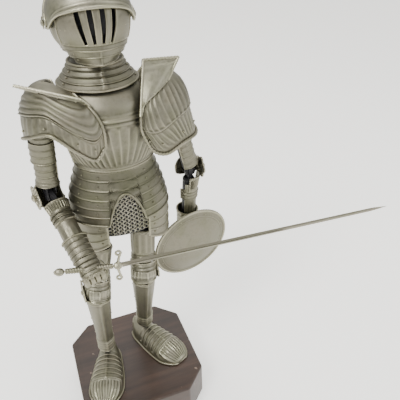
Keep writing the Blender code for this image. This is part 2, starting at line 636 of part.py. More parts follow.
def make_helmet():
    centre = Vector((NECK_X, HELMET_Y, HELMET_Z))
    low = asin((HELMET_BOTTOM_Z - HELMET_Z) / HELMET_RADIUS)

    skull_bm = bmesh.new()
    egg_solid(skull_bm, 0.0, low)
    skull = place("helmet_skull", skull_bm, "metal")
    hollow = bmesh.new()
    egg_solid(hollow, -PLATE, low - 0.08)
    cut(skull, hollow, "skull_hollow")
    opening = bmesh.new()
    wide = radians(FACE_HALF_ANGLE)
    reach = 60.0
    rows = []
    for z in (HELMET_BOTTOM_Z - 8.0, BROW_Z):
        rows.append([centre + Vector((0.0, 6.0, z - HELMET_Z)),
                     centre + Vector((-reach * sin(wide), -reach * cos(wide), z - HELMET_Z)),
                     centre + Vector((0.0, -reach, z - HELMET_Z)),
                     centre + Vector((reach * sin(wide), -reach * cos(wide), z - HELMET_Z))])
    skin(opening, rows)
    cut(skull, opening, "face_opening")

    comb = bmesh.new()
    rings = []
    for i in range(13):
        a = radians(86.0 + 88.0 * i / 12.0)
        fade = sin(pi * i / 12.0) ** 0.5
        ring = []
        for across, up in ((-1.0, 0.0), (1.0, 0.0), (0.5, 1.0), (-0.5, 1.0)):
            radius = HELMET_RADIUS - 0.6 + up * (0.8 + COMB_HEIGHT * fade)
            ring.append(centre + Vector((across * COMB_WIDTH, -radius * cos(a), radius * sin(a))))
        rings.append(ring)
    skin(comb, rings)
    cut(skull, comb, "helmet_comb", operation="UNION")

    wide_face = radians(FACE_HALF_ANGLE - 1.6)
    face_low = asin((FACE_BOTTOM_Z - HELMET_Z) / HELMET_RADIUS)
    face_top = asin((BROW_Z - GAP - HELMET_Z) / HELMET_RADIUS)

    def face(u, v):
        return egg(wide_face * (2.0 * u - 1.0), face_low + v * (face_top - face_low))

    face_bm = bmesh.new()
    plate(face_bm, face, 12, 5, inward=lambda p: centre - p)
    guard = place("face_guard", face_bm, "metal")
    for k in range(SLOT_COUNT):
        offset = (k - (SLOT_COUNT - 1) / 2.0) * SLOT_PITCH
        slot = bmesh.new()
        middle = Vector((NECK_X + offset, HELMET_Y - HELMET_RADIUS + 6.0,
                         SLOT_BOTTOM_Z + 20.0))
        box(slot, middle, SLOT_WIDTH / 2.0, 12.0, 20.0,
            Matrix.Rotation(-offset * 0.010, 4, "Y"))
        cut(guard, slot, "face_slot_%d" % (k + 1))

    def bevor(u, v):
        longitude = wide_face * (2.0 * u - 1.0)
        top = egg(longitude, face_low)
        t = 1.0 - v
        z = FACE_BOTTOM_Z - GAP - t * (FACE_BOTTOM_Z - CHIN_Z)
        shrink = 1.0 - 0.55 * t ** 2.2 * abs(sin(longitude)) - 0.10 * t
        forward = (CHIN_REACH + HELMET_Y - (centre.y - top.y)) * t * max(cos(longitude), 0.0) ** 2
        return Vector((NECK_X + (top.x - NECK_X) * (1.0 - 0.32 * t ** 1.6),
                       centre.y + (top.y - centre.y) * shrink - forward, z))

    bevor_bm = bmesh.new()
    plate(bevor_bm, bevor, 12, 4, inward=lambda p: centre - p)
    place("bevor", bevor_bm, "metal")

    def visor(u, v):
        across = (2.0 * u - 1.0) * 0.985
        edge = abs(across) ** 12.0
        low_angle = radians(VISOR_LOW_ANGLE) - radians(95.0) * edge
        high_angle = radians(VISOR_HIGH_ANGLE) + radians(95.0) * edge
        a = low_angle + v * (high_angle - low_angle)
        grow = PLATE + VISOR_GAP
        radius = (HELMET_RADIUS + grow) * sqrt(1.0 - across * across)
        x = NECK_X + across * (HELMET_HALF_WIDTH + grow)
        return Vector((x, HELMET_Y - radius * cos(a), HELMET_Z + radius * sin(a)))

    visor_bm = bmesh.new()
    plate(visor_bm, visor, 18, 6, inward=lambda p: centre - p)
    place("visor", visor_bm, "bright_metal", origin=centre)

    pivots = bmesh.new()
    end = HELMET_HALF_WIDTH + PLATE + VISOR_GAP + GAP
    half_profile = ((PIVOT_RADIUS, end), (PIVOT_RADIUS + 1.8, end), (PIVOT_RADIUS + 0.9, end + 1.4))
    profile = [(radius, -height) for radius, height in half_profile[::-1]] + list(half_profile)
    lathe(pivots, centre, X_AXIS, profile, sides=14, closed=False)
    place("visor_pivot_rod", pivots, "bright_metal")
    head = bmesh.new()
    hole_radius = NECK_RADIUS + JOINT_GAP
    lathe(head, Vector((NECK_X, 0.0, 0.0)), Z_AXIS, (
        (hole_radius, 335.0), (12.0, 334.0), (16.0, 340.0), (23.0, 350.0), (25.0, 358.0),
        (22.5, 369.0), (15.0, 377.0), (5.0, 380.5), (0.05, 380.8), (0.05, NECK_TOP_Z + 1.5),
        (hole_radius, NECK_TOP_Z + 1.0)), sides=16)
    core = place("head_core", head, "black", origin=Vector((NECK_X, 0.0, HELMET_Z)))
    for target, name in ((core, "head_bore"), (skull, "skull_bore")):
        bore = bmesh.new()
        rod(bore, [(centre - X_AXIS * 40.0, PIVOT_RADIUS + GAP),
                   (centre + X_AXIS * 40.0, PIVOT_RADIUS + GAP)], sides=14)
        cut(target, bore, name)


# ---------------------------------------------------------------- shoulders and arms

def smooth_path(points, t):
    """A Catmull-Rom curve through points, t from 0 to 1."""
    span = t * (len(points) - 1)
    i = min(int(span), len(points) - 2)
    s = span - i
    p0 = points[max(i - 1, 0)]
    p1 = points[i]
    p2 = points[i + 1]
    p3 = points[min(i + 2, len(points) - 1)]

    def blend(a, b, c, d):
        return 0.5 * (2.0 * b + (c - a) * s + (2.0 * a - 5.0 * b + 4.0 * c - d) * s * s
                      + (3.0 * b - a - 3.0 * c + d) * s * s * s)

    return tuple(blend(a, b, c, d) for a, b, c, d in zip(p0, p1, p2, p3))


def make_shoulder_plates(side, shoulder, elbow, towards_neck, rows, haute_foot, haute_rim):
    centre_x = shoulder.x + towards_neck * PAULDRON_CENTRE_IN
    splay = (elbow - shoulder) / (shoulder.z - elbow.z)
    centre_y = -1.0

    def dome(u, v):
        x, y, low = smooth_path(rows, u)
        top = PAULDRON_TOP_Z - 0.3
        z = low + (top - low) * v
        rise = max(z - PAULDRON_BASE_Z, 0.0) / (PAULDRON_TOP_Z - PAULDRON_BASE_Z)
        size = sqrt(max(1.0 - rise * rise, 0.0))
        follow = splay * max(PAULDRON_BASE_Z - z, 0.0)
        return Vector((centre_x + towards_neck * x * size + follow.x,
                       centre_y + y * size + follow.y, z))

    def inward(point):
        return Vector((centre_x - point.x, centre_y - point.y, PAULDRON_BASE_Z - 10.0 - point.z))

    bm = bmesh.new()
    plate(bm, dome, 14, 6, inward=inward)
    place(side + "_pauldron", bm, "metal")

    def haute(u, v):
        """Flange that stands on the pauldron, from its foot line up to its straight top edge."""
        foot = dome(*smooth_path(haute_foot, u))
        out = -inward(foot).normalized()
        return (foot + out * (PLATE + HAUTE_GAP)).lerp(haute_rim[0].lerp(haute_rim[1], u), v)

    flange = bmesh.new()
    plate(flange, haute, 10, 2, inward=lambda p: Vector((0.0, 1.0, -0.4)))
    place(side + "_haute_piece", flange, "bright_metal")


def make_shoulder_rod():
    """One rod through the torso, on whose ends both arms turn."""
    bm = bmesh.new()
    rod(bm, [(RIGHT_SHOULDER - X_AXIS * 4.0, SHOULDER_ROD_RADIUS),
             (LEFT_SHOULDER + X_AXIS * 4.0, SHOULDER_ROD_RADIUS)], sides=12)
    place("shoulder_rod", bm, "dark_metal")


def elbow_axis(shoulder, elbow, hand):
    """Level axis square to the forearm; a positive turn lifts the hand."""
    heading = Vector((hand.x - elbow.x, hand.y - elbow.y, 0.0))
    if heading.length < 15.0 or side_is_straight(shoulder, elbow, hand):
        heading = Vector((0.0, -1.0, 0.0))
    heading.normalize()
    return heading.cross(Z_AXIS).normalized(), heading


def side_is_straight(shoulder, elbow, hand):
    return (elbow - shoulder).angle(hand - elbow) < radians(15.0)


def make_arm(side, shoulder, elbow, hand, outward):
    upper_way = (elbow - shoulder).normalized()
    lower_way = (hand - elbow).normalized()
    axis, heading = elbow_axis(shoulder, elbow, hand)
    outer_axis = axis if axis.x * outward > 0.0 else -axis

    core = bmesh.new()
    rod(core, [(shoulder - upper_way * 6.0, 3.0), (shoulder - upper_way * 4.6, 5.0),
               (shoulder, ARM_RADIUS), (elbow, ARM_RADIUS), (elbow + upper_way * 4.6, 5.0),
               (elbow + upper_way * 6.0, 3.0)])
    upper = place(side + "_upper_arm_core", core, "black", origin=shoulder)
    bore = bmesh.new()
    rod(bore, [(shoulder - X_AXIS * 9.0, SHOULDER_ROD_RADIUS + JOINT_GAP * 0.5),
               (shoulder + X_AXIS * 9.0, SHOULDER_ROD_RADIUS + JOINT_GAP * 0.5)], sides=12)
    cut(upper, bore, side + "_shoulder_bore")
    slot = bmesh.new()
    turn = Matrix((axis, heading, axis.cross(heading))).transposed().to_4x4()
    box(slot, elbow - Z_AXIS * 4.0, ELBOW_FORK_GAP / 2.0, 12.0, 12.5, turn)
    cut(upper, slot, side + "_elbow_fork")
    pin_hole = bmesh.new()
    rod(pin_hole, [(elbow - axis * 9.0, ELBOW_PIN_RADIUS + GAP),
                   (elbow + axis * 9.0, ELBOW_PIN_RADIUS + GAP)], sides=12, hint=Z_AXIS)
    cut(upper, pin_hole, side + "_elbow_hole")

    tang_half = ELBOW_FORK_GAP / 2.0 - JOINT_GAP
    across = axis.cross(lower_way).normalized()
    eye = bmesh.new()
    arc = [(-5.0 * cos(a), 5.0 * sin(a)) for a in [radians(-90.0 + 20.0 * k) for k in range(10)]]
    outline = arc + [(9.6, 5.0), (9.6, -5.0)]
    rings = []
    for offset in (-tang_half, tang_half):
        rings.append([elbow + axis * offset + lower_way * x + across * y for x, y in outline])
    skin(eye, rings)
    forearm = bmesh.new()
    length = (hand - elbow).length
    rod(forearm, [(elbow + lower_way * 8.8, 4.6), (elbow + lower_way * 10.4, ARM_RADIUS),
                  (elbow + lower_way * 30.0, ARM_RADIUS),
                  (elbow + lower_way * (length - FIST_LENGTH / 2.0 - GAP), WRIST_RADIUS)])
    lower = place(side + "_forearm_core", forearm, "black", origin=elbow)
    cut(lower, eye, side + "_elbow_eye", operation="UNION")
    eye_hole = bmesh.new()
    rod(eye_hole, [(elbow - axis * 9.0, ELBOW_PIN_RADIUS + JOINT_GAP * 0.5),
                   (elbow + axis * 9.0, ELBOW_PIN_RADIUS + JOINT_GAP * 0.5)],
        sides=12, hint=Z_AXIS)
    cut(lower, eye_hole, side + "_eye_hole")

    pin = bmesh.new()
    rod(pin, [(elbow - axis * 6.6, ELBOW_PIN_RADIUS), (elbow + axis * 6.6, ELBOW_PIN_RADIUS)],
        sides=12, hint=Z_AXIS)
    place(side + "_elbow_pin", pin, "dark_metal")

    tube_radius = ARM_RADIUS + ARM_STANDOFF + PLATE
    rerebrace = bmesh.new()
    tube(rerebrace, shoulder + upper_way * 8.0, elbow - upper_way * ELBOW_CLEAR,
         tube_radius + 0.2, tube_radius)
    place(side + "_rerebrace", rerebrace, "metal")
    lames = bmesh.new()
    inner_start = shoulder + upper_way * 24.0
    tube(lames, inner_start, inner_start + upper_way * 17.0,
         tube_radius + 0.2 + GAP + PLATE, tube_radius + 0.2 + GAP + PLATE)
    place(side + "_arm_lames", lames, "metal")

    upper_flat = upper_way - axis * upper_way.dot(axis)
    lower_flat = lower_way - axis * lower_way.dot(axis)
    rest_turn = degrees((-upper_flat).angle(lower_flat))

    def cap(u, v):
        turn_angle = radians(38.0 + (rest_turn - 76.0 + (360.0 - 2.0 * rest_turn)) * v)
        tilt = radians(-60.0 + 120.0 * u)
        up = -upper_flat.normalized()
        back = axis.cross(up).normalized()
        if back.dot(heading) > 0.0:
            back = -back
        around = up * cos(turn_angle) + back * sin(turn_angle)
        return elbow + (around * cos(tilt) + axis * sin(tilt)) * ELBOW_CAP_RADIUS

    couter = bmesh.new()
    plate(couter, cap, 6, 6, inward=lambda p: elbow - p)
    place(side + "_couter", couter, "metal")

    wing = bmesh.new()
    centre = elbow + outer_axis * (ELBOW_CAP_RADIUS + 0.7)
    rings = []
    for offset in (0.0, PLATE):
        ring = []
        for k in range(16):
            a = 2.0 * pi * k / 16.0
            radius = 11.5 + 2.0 * cos(5.0 * a)
            ring.append(centre + outer_axis * offset + heading * (radius * cos(a))
                        + Z_AXIS * (radius * sin(a)))
        rings.append(ring)
    skin(wing, rings)
    place(side + "_elbow_wing", wing, "bright_metal")

    vambrace = bmesh.new()
    tube(vambrace, elbow + lower_way * ELBOW_CLEAR,
         elbow + lower_way * (length - FIST_LENGTH / 2.0 - 3.0),
         tube_radius + 0.9, WRIST_RADIUS + LIMB_STANDOFF + PLATE + 1.0)
    place(side + "_vambrace", vambrace, "metal")


def make_gauntlet(side, elbow, hand, bar_start, bar_end, bar_radius):
    """A closed fist with a flared cuff, bored for the bar that it grips."""
    way = (hand - elbow).normalized()
    first, second = side_vectors(way)
    half = FIST_LENGTH / 2.0
    cuff_inner = WRIST_RADIUS + LIMB_STANDOFF + PLATE + 1.0 + GAP + 1.6
    rings = []
    for along, radius in ((-half, 8.0), (-half + 2.0, 9.6), (-4.0, FIST_RADIUS), (4.0, FIST_RADIUS),
                          (half - 2.5, 8.6), (half, 5.6)):
        rings.append(circle(hand + way * along, first, second, radius, 12, radius * 0.92))
    fist = bmesh.new()
    skin(fist, rings)
    gauntlet = place(side + "_gauntlet", fist, "metal")
    bore = bmesh.new()
    rod(bore, [(bar_start, bar_radius), (bar_end, bar_radius)], sides=16, hint=Z_AXIS)
    cut(gauntlet, bore, side + "_fist_bore")

    cuff = bmesh.new()
    tube(cuff, hand - way * (half + CUFF_LENGTH), hand - way * (half + GAP),
         cuff_inner + 1.2 + PLATE, cuff_inner - 0.4 + PLATE)
    place(side + "_cuff", cuff, "bright_metal")


# ---------------------------------------------------------------- sword and shield

def make_sword():
    grip_way = (GUARD - POMMEL).normalized()
    blade_way = (BLADE_TIP - GUARD).normalized()
    grip_length = (GUARD - POMMEL).length
    half_guard = GUARD_HUB_RADIUS

    grip = bmesh.new()
    bore = TANG_RADIUS + GAP
    start = POMMEL_RADIUS + GAP
    end = grip_length - half_guard - GAP
    lathe(grip, POMMEL, grip_way, ((GRIP_RADIUS * 0.8, start), (GRIP_RADIUS, start + 8.0),
                                   (GRIP_RADIUS, end - 8.0), (GRIP_RADIUS * 0.8, end),
                                   (bore, end), (bore, start)), sides=16)
    place("sword_grip", grip, "metal")

    pommel = bmesh.new()
    profile = [(POMMEL_RADIUS * sin(a), -POMMEL_RADIUS * cos(a))
               for a in [radians(8.0 + 18.2 * k) for k in range(10)]]
    lathe(pommel, POMMEL, grip_way, profile, sides=16, closed=False)
    ball = place("sword_pommel", pommel, "bright_metal")
    hole = bmesh.new()
    rod(hole, [(POMMEL - grip_way * 1.0, bore), (POMMEL + grip_way * 8.0, bore)], sides=10)
    cut(ball, hole, "pommel_hole")

    across = (Z_AXIS - grip_way * Z_AXIS.dot(grip_way)).normalized()
    guard = bmesh.new()
    stations = []
    for k in range(13):
        t = 2.0 * k / 12.0 - 1.0
        swell = (GUARD_HUB_RADIUS - GUARD_ARM_RADIUS) * (1.0 - abs(t)) ** 4
        knob = 0.5 if abs(t) > 0.9 else 0.0
        stations.append((GUARD + across * (GUARD_HALF_SPAN * t) + grip_way * (3.0 * t * t),
                         GUARD_ARM_RADIUS + swell + knob))
    rod(guard, stations, sides=8, hint=grip_way)
    bar = place("sword_guard", guard, "bright_metal")
    hole = bmesh.new()
    rod(hole, [(GUARD - grip_way * 6.0, bore), (GUARD, bore + 0.2),
               (GUARD + blade_way * 6.0, bore + 0.2)], sides=10, hint=Z_AXIS)
    cut(bar, hole, "guard_hole")

    blade = bmesh.new()
    edge = (Z_AXIS - blade_way * Z_AXIS.dot(blade_way)).normalized()
    flat = blade_way.cross(edge).normalized()
    rings = []
    blade_start = half_guard + GAP
    length = (BLADE_TIP - GUARD).length
    for along, width in ((blade_start, 1.0), (blade_start + 2.0, 1.0), (length * 0.5, 0.86),
                         (length - 14.0, 0.7), (length - 0.2, 0.06)):
        half_edge = BLADE_WIDTH / 2.0 * width
        half_flat = BLADE_THICKNESS / 2.0 * (0.3 + 0.7 * width)
        centre = GUARD + blade_way * along
        rings.append([centre + edge * half_edge, centre + flat * half_flat,
                      centre - edge * half_edge, centre - flat * half_flat])
    skin(blade, rings)
    sword = place("sword_blade", blade, "bright_metal")
    tang = bmesh.new()
    rod(tang, [(POMMEL - grip_way * 0.4, TANG_RADIUS), (GUARD, TANG_RADIUS),
               (GUARD + blade_way * (blade_start + 1.5), TANG_RADIUS * 0.7)], sides=10, hint=Z_AXIS)
    cut(sword, tang, "sword_tang", operation="UNION")


def shield_frame():
    level = Z_AXIS.cross(SHIELD_NORMAL).normalized()
    upright = SHIELD_NORMAL.cross(level).normalized()
    return level, upright


def make_shield():
    flat_radius = SHIELD_RADIUS - SHIELD_RIM
    sphere = (flat_radius ** 2 + SHIELD_DOME ** 2) / (2.0 * SHIELD_DOME)
    outer = []
    steps = 4
    for i in range(steps + 1):
        radius = flat_radius * (1.0 - i / steps) + 0.05
        outer.append((radius, sqrt(sphere ** 2 - radius ** 2) - sphere + SHIELD_DOME + PLATE))
    inner = [(radius, height - PLATE) for radius, height in outer]
    dish = bmesh.new()
    lathe(dish, SHIELD_CENTRE, SHIELD_NORMAL, outer + inner[::-1], sides=28)
    place("shield_face", dish, "metal")

    rim = bmesh.new()
    section = [(SHIELD_RADIUS - SHIELD_RIM / 2.0 + GAP / 2.0
                + (SHIELD_RIM / 2.0 - GAP / 2.0) * cos(a), 0.6 + 1.4 * sin(a))
               for a in [2.0 * pi * k / 6.0 for k in range(6)]]
    lathe(rim, SHIELD_CENTRE, SHIELD_NORMAL, section, sides=28)
    place("shield_rim", rim, "bright_metal")

    level, upright = shield_frame()
    half = HANDLE_SPAN / 2.0
    behind = (LEFT_HAND - SHIELD_CENTRE).dot(SHIELD_NORMAL)
    middle = LEFT_HAND - SHIELD_NORMAL * behind
    stations = []
    foot_height = SHIELD_DOME - 2.6
    for way in (-1.0, 1.0):
        foot = middle + level * (way * half) + SHIELD_NORMAL * foot_height
        bend = middle + level * (way * half) + SHIELD_NORMAL * (behind + 3.0)
        turned = middle + level * (way * (half - 3.0)) + SHIELD_NORMAL * behind
        pair = [(foot, HANDLE_RADIUS), (bend, HANDLE_RADIUS), (turned, HANDLE_RADIUS)]
        stations += pair if way < 0.0 else pair[::-1]
    handle = bmesh.new()
    rod(handle, stations, sides=12, hint=upright)
    place("shield_handle", handle, "dark_metal")


make_base()
make_leg_bolts()
make_leg("right", RIGHT_HIP, RIGHT_KNEE, RIGHT_ANKLE, RIGHT_TOE, -1.0)
make_leg("left", LEFT_HIP, LEFT_KNEE, LEFT_ANKLE, LEFT_TOE, 1.0)
make_torso()
make_torso_plates()
make_fauld()
make_mail()
make_collar()
make_helmet()
make_shoulder_plates("right", RIGHT_SHOULDER, RIGHT_ELBOW, 1.0, RIGHT_PAULDRON,
                     RIGHT_HAUTE_FOOT, RIGHT_HAUTE_RIM)
make_shoulder_plates("left", LEFT_SHOULDER, LEFT_ELBOW, -1.0, LEFT_PAULDRON,
                     LEFT_HAUTE_FOOT, LEFT_HAUTE_RIM)
make_shoulder_rod()
make_arm("right", RIGHT_SHOULDER, RIGHT_ELBOW, RIGHT_HAND, -1.0)
make_arm("left", LEFT_SHOULDER, LEFT_ELBOW, LEFT_HAND, 1.0)
SWORD_WAY = (GUARD - POMMEL).normalized()
make_gauntlet("right", RIGHT_ELBOW, RIGHT_HAND, POMMEL + SWORD_WAY * 2.0, GUARD,
              GRIP_RADIUS + JOINT_GAP)
BAR_LEVEL = shield_frame()[0]
make_gauntlet("left", LEFT_ELBOW, LEFT_HAND, LEFT_HAND - BAR_LEVEL * 30.0,
              LEFT_HAND + BAR_LEVEL * 30.0, HANDLE_RADIUS + GAP)
make_sword()
make_shield()
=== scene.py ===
"""Antiqued metal suit of armour on a wooden plinth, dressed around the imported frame.

Working sizes are millimetres, with heights above the plinth's top; Piece.make turns them into
metres. The figure faces -Y and +X is its left. Joint places come from the frame's own joints.
"""
import json
from math import cos, pi, radians, sin

import bmesh
import bpy
import numpy as np
from mathutils import Matrix, Vector


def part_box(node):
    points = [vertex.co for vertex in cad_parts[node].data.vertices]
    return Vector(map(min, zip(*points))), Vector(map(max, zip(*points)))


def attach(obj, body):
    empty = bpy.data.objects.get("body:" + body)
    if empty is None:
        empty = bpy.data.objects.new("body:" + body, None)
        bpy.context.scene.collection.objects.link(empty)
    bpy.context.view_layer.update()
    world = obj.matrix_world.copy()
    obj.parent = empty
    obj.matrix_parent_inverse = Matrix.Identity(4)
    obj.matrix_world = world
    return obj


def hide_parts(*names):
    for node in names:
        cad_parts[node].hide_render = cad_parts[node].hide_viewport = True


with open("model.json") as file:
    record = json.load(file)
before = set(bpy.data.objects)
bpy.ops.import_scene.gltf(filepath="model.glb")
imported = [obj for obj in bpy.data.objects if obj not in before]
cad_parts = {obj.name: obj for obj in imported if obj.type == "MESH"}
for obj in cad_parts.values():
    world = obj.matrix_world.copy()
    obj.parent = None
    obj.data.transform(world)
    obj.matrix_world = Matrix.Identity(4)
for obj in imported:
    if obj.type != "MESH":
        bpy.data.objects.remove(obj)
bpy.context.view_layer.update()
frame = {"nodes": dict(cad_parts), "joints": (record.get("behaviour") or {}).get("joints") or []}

MM = 0.001
BASE_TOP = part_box("wooden_base")[1][2] / MM
JOINTS = {joint["name"]: joint for joint in frame["joints"]}


def from_frame(point):
    """A frame point in metres as millimetres above the plinth."""
    return np.array(point, float) / MM - np.array([0.0, 0.0, BASE_TOP])


def box_mm(node):
    low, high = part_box(node)
    return from_frame(low), from_frame(high)


def unit(vector):
    vector = np.asarray(vector, float)
    return vector / np.linalg.norm(vector, axis=-1, keepdims=True)


X = np.array([1.0, 0.0, 0.0])
Y = np.array([0.0, 1.0, 0.0])
Z = np.array([0.0, 0.0, 1.0])

SHOULDER = {side: from_frame(JOINTS[side + "_shoulder"]["pos_m"]) for side in ("right", "left")}
ELBOW = {side: from_frame(JOINTS[side + "_elbow"]["pos_m"]) for side in ("right", "left")}
ELBOW_AXIS = {side: unit(JOINTS[side + "_elbow"]["axis"]) for side in ("right", "left")}
HEAD = from_frame(JOINTS["visor_hinge"]["pos_m"])
GRIP_WAY = unit(JOINTS["sword_slide"]["axis"])
HAND = {"right": np.array([-33.0, -58.0, 180.0]), "left": np.array([71.5, 16.0, 139.0])}
KNEE = {"right": np.array([-28.5, -12.0, 120.0]), "left": np.array([17.5, -13.0, 128.0])}
HIP = {"right": np.array([-14.0, -2.0, 184.0]), "left": np.array([24.0, -2.0, 184.0])}
ANKLE = {"right": np.array([-28.0, 2.0, 27.0]), "left": np.array([19.0, 21.0, 27.0])}
TOE = {"right": np.array([-44.0, -50.0, 0.0]), "left": np.array([46.0, -28.0, 0.0])}
OUTWARD = {"right": -1.0, "left": 1.0}


# ---------------------------------------------------------------- materials

def add_object(name, data):
    made = bpy.data.objects.new(name, data)
    bpy.context.scene.collection.objects.link(made)
    return made


def new_material(name):
    made = bpy.data.materials.new(name)
    made.use_nodes = True
    tree = made.node_tree
    return made, tree, tree.nodes["Principled BSDF"]


def set_inputs(node, values):
    for name, value in values.items():
        node.inputs[name].default_value = value


def object_place(tree, stretch=(1.0, 1.0, 1.0), turn=0.0):
    """Object coordinates, turned about Z and stretched."""
    node = tree.nodes.new("ShaderNodeMapping")
    set_inputs(node, {"Scale": stretch, "Rotation": (0.0, 0.0, turn)})
    tree.links.new(tree.nodes.new("ShaderNodeTexCoord").outputs["Object"], node.inputs["Vector"])
    return node.outputs["Vector"]


def noise(tree, scale, detail, source, roughness=0.55):
    node = tree.nodes.new("ShaderNodeTexNoise")
    set_inputs(node, {"Scale": scale, "Detail": detail, "Roughness": roughness})
    tree.links.new(source, node.inputs["Vector"])
    return node.outputs["Fac"]


def ramp(tree, factor, stops):
    node = tree.nodes.new("ShaderNodeValToRGB")
    elements = node.color_ramp.elements
    while len(elements) < len(stops):
        elements.new(0.5)
    for element, (place, colour) in zip(elements, stops):
        element.position = place
        element.color = colour if len(colour) == 4 else (*colour, 1.0)
    tree.links.new(factor, node.inputs["Fac"])
    return node.outputs["Color"]


def mix_colour(tree, factor, first, second, blend="MIX"):
    node = tree.nodes.new("ShaderNodeMix")
    node.data_type = "RGBA"
    node.blend_type = blend
    if isinstance(factor, float):
        node.inputs["Factor"].default_value = factor
    else:
        tree.links.new(factor, node.inputs["Factor"])
    tree.links.new(first, node.inputs["A"])
    tree.links.new(second, node.inputs["B"])
    return node.outputs["Result"]


def math(tree, operation, first, second):
    node = tree.nodes.new("ShaderNodeMath")
    node.operation = operation
    for socket, value in zip(node.inputs, (first, second)):
        if isinstance(value, (int, float)):
            socket.default_value = value
        else:
            tree.links.new(value, socket)
    return node.outputs["Value"]


def scaled(tree, value, factor, shift=0.0):
    node = tree.nodes.new("ShaderNodeMath")
    node.operation = "MULTIPLY_ADD"
    node.inputs[1].default_value = factor
    node.inputs[2].default_value = shift
    tree.links.new(value, node.inputs[0])
    return node.outputs["Value"]


def bump(tree, shader, height, strength, distance):
    node = tree.nodes.new("ShaderNodeBump")
    set_inputs(node, {"Strength": strength, "Distance": distance})
    tree.links.new(height, node.inputs["Height"])
    tree.links.new(node.outputs["Normal"], shader.inputs["Normal"])


def grey(value):
    return (value, value, value)


def antique_metal(name, tone, rough, patina=0.5, stretch=(1.0, 1.0, 1.0)):
    """Cast metal with darkened hollows, rubbed edges and a cloudy olive patina.

    The mesh attribute "relief" is 0 in a hollow, 0.5 on a flat and 1 on an edge.
    """
    made, tree, shader = new_material(name)
    links = tree.links
    place = object_place(tree, stretch)
    relief = tree.nodes.new("ShaderNodeAttribute")
    relief.attribute_name = "relief"
    broad = noise(tree, 55.0, 5.0, place)
    fine = noise(tree, 420.0, 6.0, place, 0.65)
    grain = noise(tree, 1600.0, 3.0, place, 0.6)
    height = math(tree, "ADD", relief.outputs["Fac"], scaled(tree, fine, 0.30, -0.15))
    r, g, b = tone
    dark = (0.10 * r, 0.10 * g, 0.095 * b)
    low = (0.55 * r, 0.56 * g, 0.53 * b)
    high = (min(1.35 * r, 1.0), min(1.34 * g, 1.0), min(1.30 * b, 1.0))
    metal = ramp(tree, height, ((0.12, dark), (0.36, low), (0.52, tone), (0.80, high)))
    olive = ramp(tree, broad, ((0.36, (0.80, 0.84, 0.70)), (0.55, (1.0, 1.0, 1.0)),
                               (0.72, (1.04, 0.99, 0.93))))
    worn = mix_colour(tree, patina, metal, olive, "MULTIPLY")
    links.new(worn, shader.inputs["Base Color"])
    shader.inputs["Metallic"].default_value = 1.0
    dull = ramp(tree, math(tree, "ADD", scaled(tree, relief.outputs["Fac"], -0.5),
                           scaled(tree, fine, 0.9)),
                ((0.05, grey(rough - 0.08)), (0.30, grey(rough + 0.04)), (0.55, grey(rough + 0.28))))
    links.new(dull, shader.inputs["Roughness"])
    bump(tree, shader, math(tree, "ADD", scaled(tree, fine, 0.7), scaled(tree, grain, 0.3)),
         0.35, 0.0005)
    return made


def black_stuff(name):
    made, tree, shader = new_material(name)
    fine = noise(tree, 600.0, 4.0, object_place(tree))
    colour = ramp(tree, fine, ((0.3, (0.004, 0.004, 0.006)), (0.7, (0.014, 0.013, 0.016))))
    tree.links.new(colour, shader.inputs["Base Color"])
    tree.links.new(ramp(tree, fine, ((0.3, grey(0.5)), (0.7, grey(0.75)))),
                   shader.inputs["Roughness"])
    bump(tree, shader, fine, 0.3, 0.0003)
    return made


def dark_wood(name):
    """Stained close-grained wood under a thin varnish, a little scuffed on top."""
    made, tree, shader = new_material(name)
    links = tree.links
    place = object_place(tree)
    along = object_place(tree, (6.0, 90.0, 90.0), 0.06)
    grain = noise(tree, 1.6, 7.0, along, 0.6)
    pores = noise(tree, 9.0, 4.0, along, 0.7)
    cloud = noise(tree, 16.0, 3.0, place)
    tint = ramp(tree, grain, ((0.30, (0.020, 0.0105, 0.007)), (0.52, (0.036, 0.019, 0.0125)),
                              (0.75, (0.058, 0.032, 0.021))))
    shade = ramp(tree, cloud, ((0.35, grey(0.72)), (0.65, grey(1.18))))
    wood = mix_colour(tree, 1.0, tint, shade, "MULTIPLY")
    speck = ramp(tree, pores, ((0.30, grey(0.55)), (0.42, grey(1.0))))
    wood = mix_colour(tree, 0.6, wood, speck, "MULTIPLY")
    scuff = ramp(tree, noise(tree, 130.0, 2.0, place, 0.4), ((0.735, grey(0.0)), (0.78, grey(0.55))))
    pale = tree.nodes.new("ShaderNodeRGB")
    pale.outputs[0].default_value = (0.30, 0.22, 0.17, 1.0)
    wood = mix_colour(tree, scuff, wood, pale.outputs[0])
    links.new(wood, shader.inputs["Base Color"])
    links.new(ramp(tree, cloud, ((0.3, grey(0.36)), (0.7, grey(0.52)))), shader.inputs["Roughness"])
    set_inputs(shader, {"Coat Weight": 0.25, "Coat Roughness": 0.28})
    bump(tree, shader, math(tree, "ADD", grain, scaled(tree, pores, 0.6)), 0.25, 0.0005)
    return made


PEWTER = antique_metal("pewter", (0.205, 0.194, 0.150), rough=0.50)
# A brighter copy of the same pewter, a painted highlight for the parts that catch the light from above:
# visor, pivots, haute pieces, elbow wings, poleyns, sabatons, sword guard and pommel, shield rim.
LIT_PEWTER = antique_metal("lit_pewter", (0.26, 0.248, 0.195), rough=0.46)
# A darker copy of the same pewter with more of the olive cloud, for the waist hoops, the shield's handle and
# the pins, rod and bolts.
DARK_PEWTER = antique_metal("dark_pewter", (0.155, 0.148, 0.112), rough=0.52, patina=0.7)
STEEL = antique_metal("blade_steel", (0.21, 0.198, 0.158), rough=0.40, stretch=(0.15, 1.0, 1.0))
MAIL = antique_metal("mail_metal", (0.24, 0.23, 0.19), rough=0.42)
BLACK = black_stuff("black_figure")
WOOD = dark_wood("dark_wood")


# ---------------------------------------------------------------- mesh building

def grid(nu, nv):
    u = np.linspace(0.0, 1.0, nu)[:, None] * np.ones((1, nv))
    v = np.ones((nu, 1)) * np.linspace(0.0, 1.0, nv)[None, :]
    return u, v


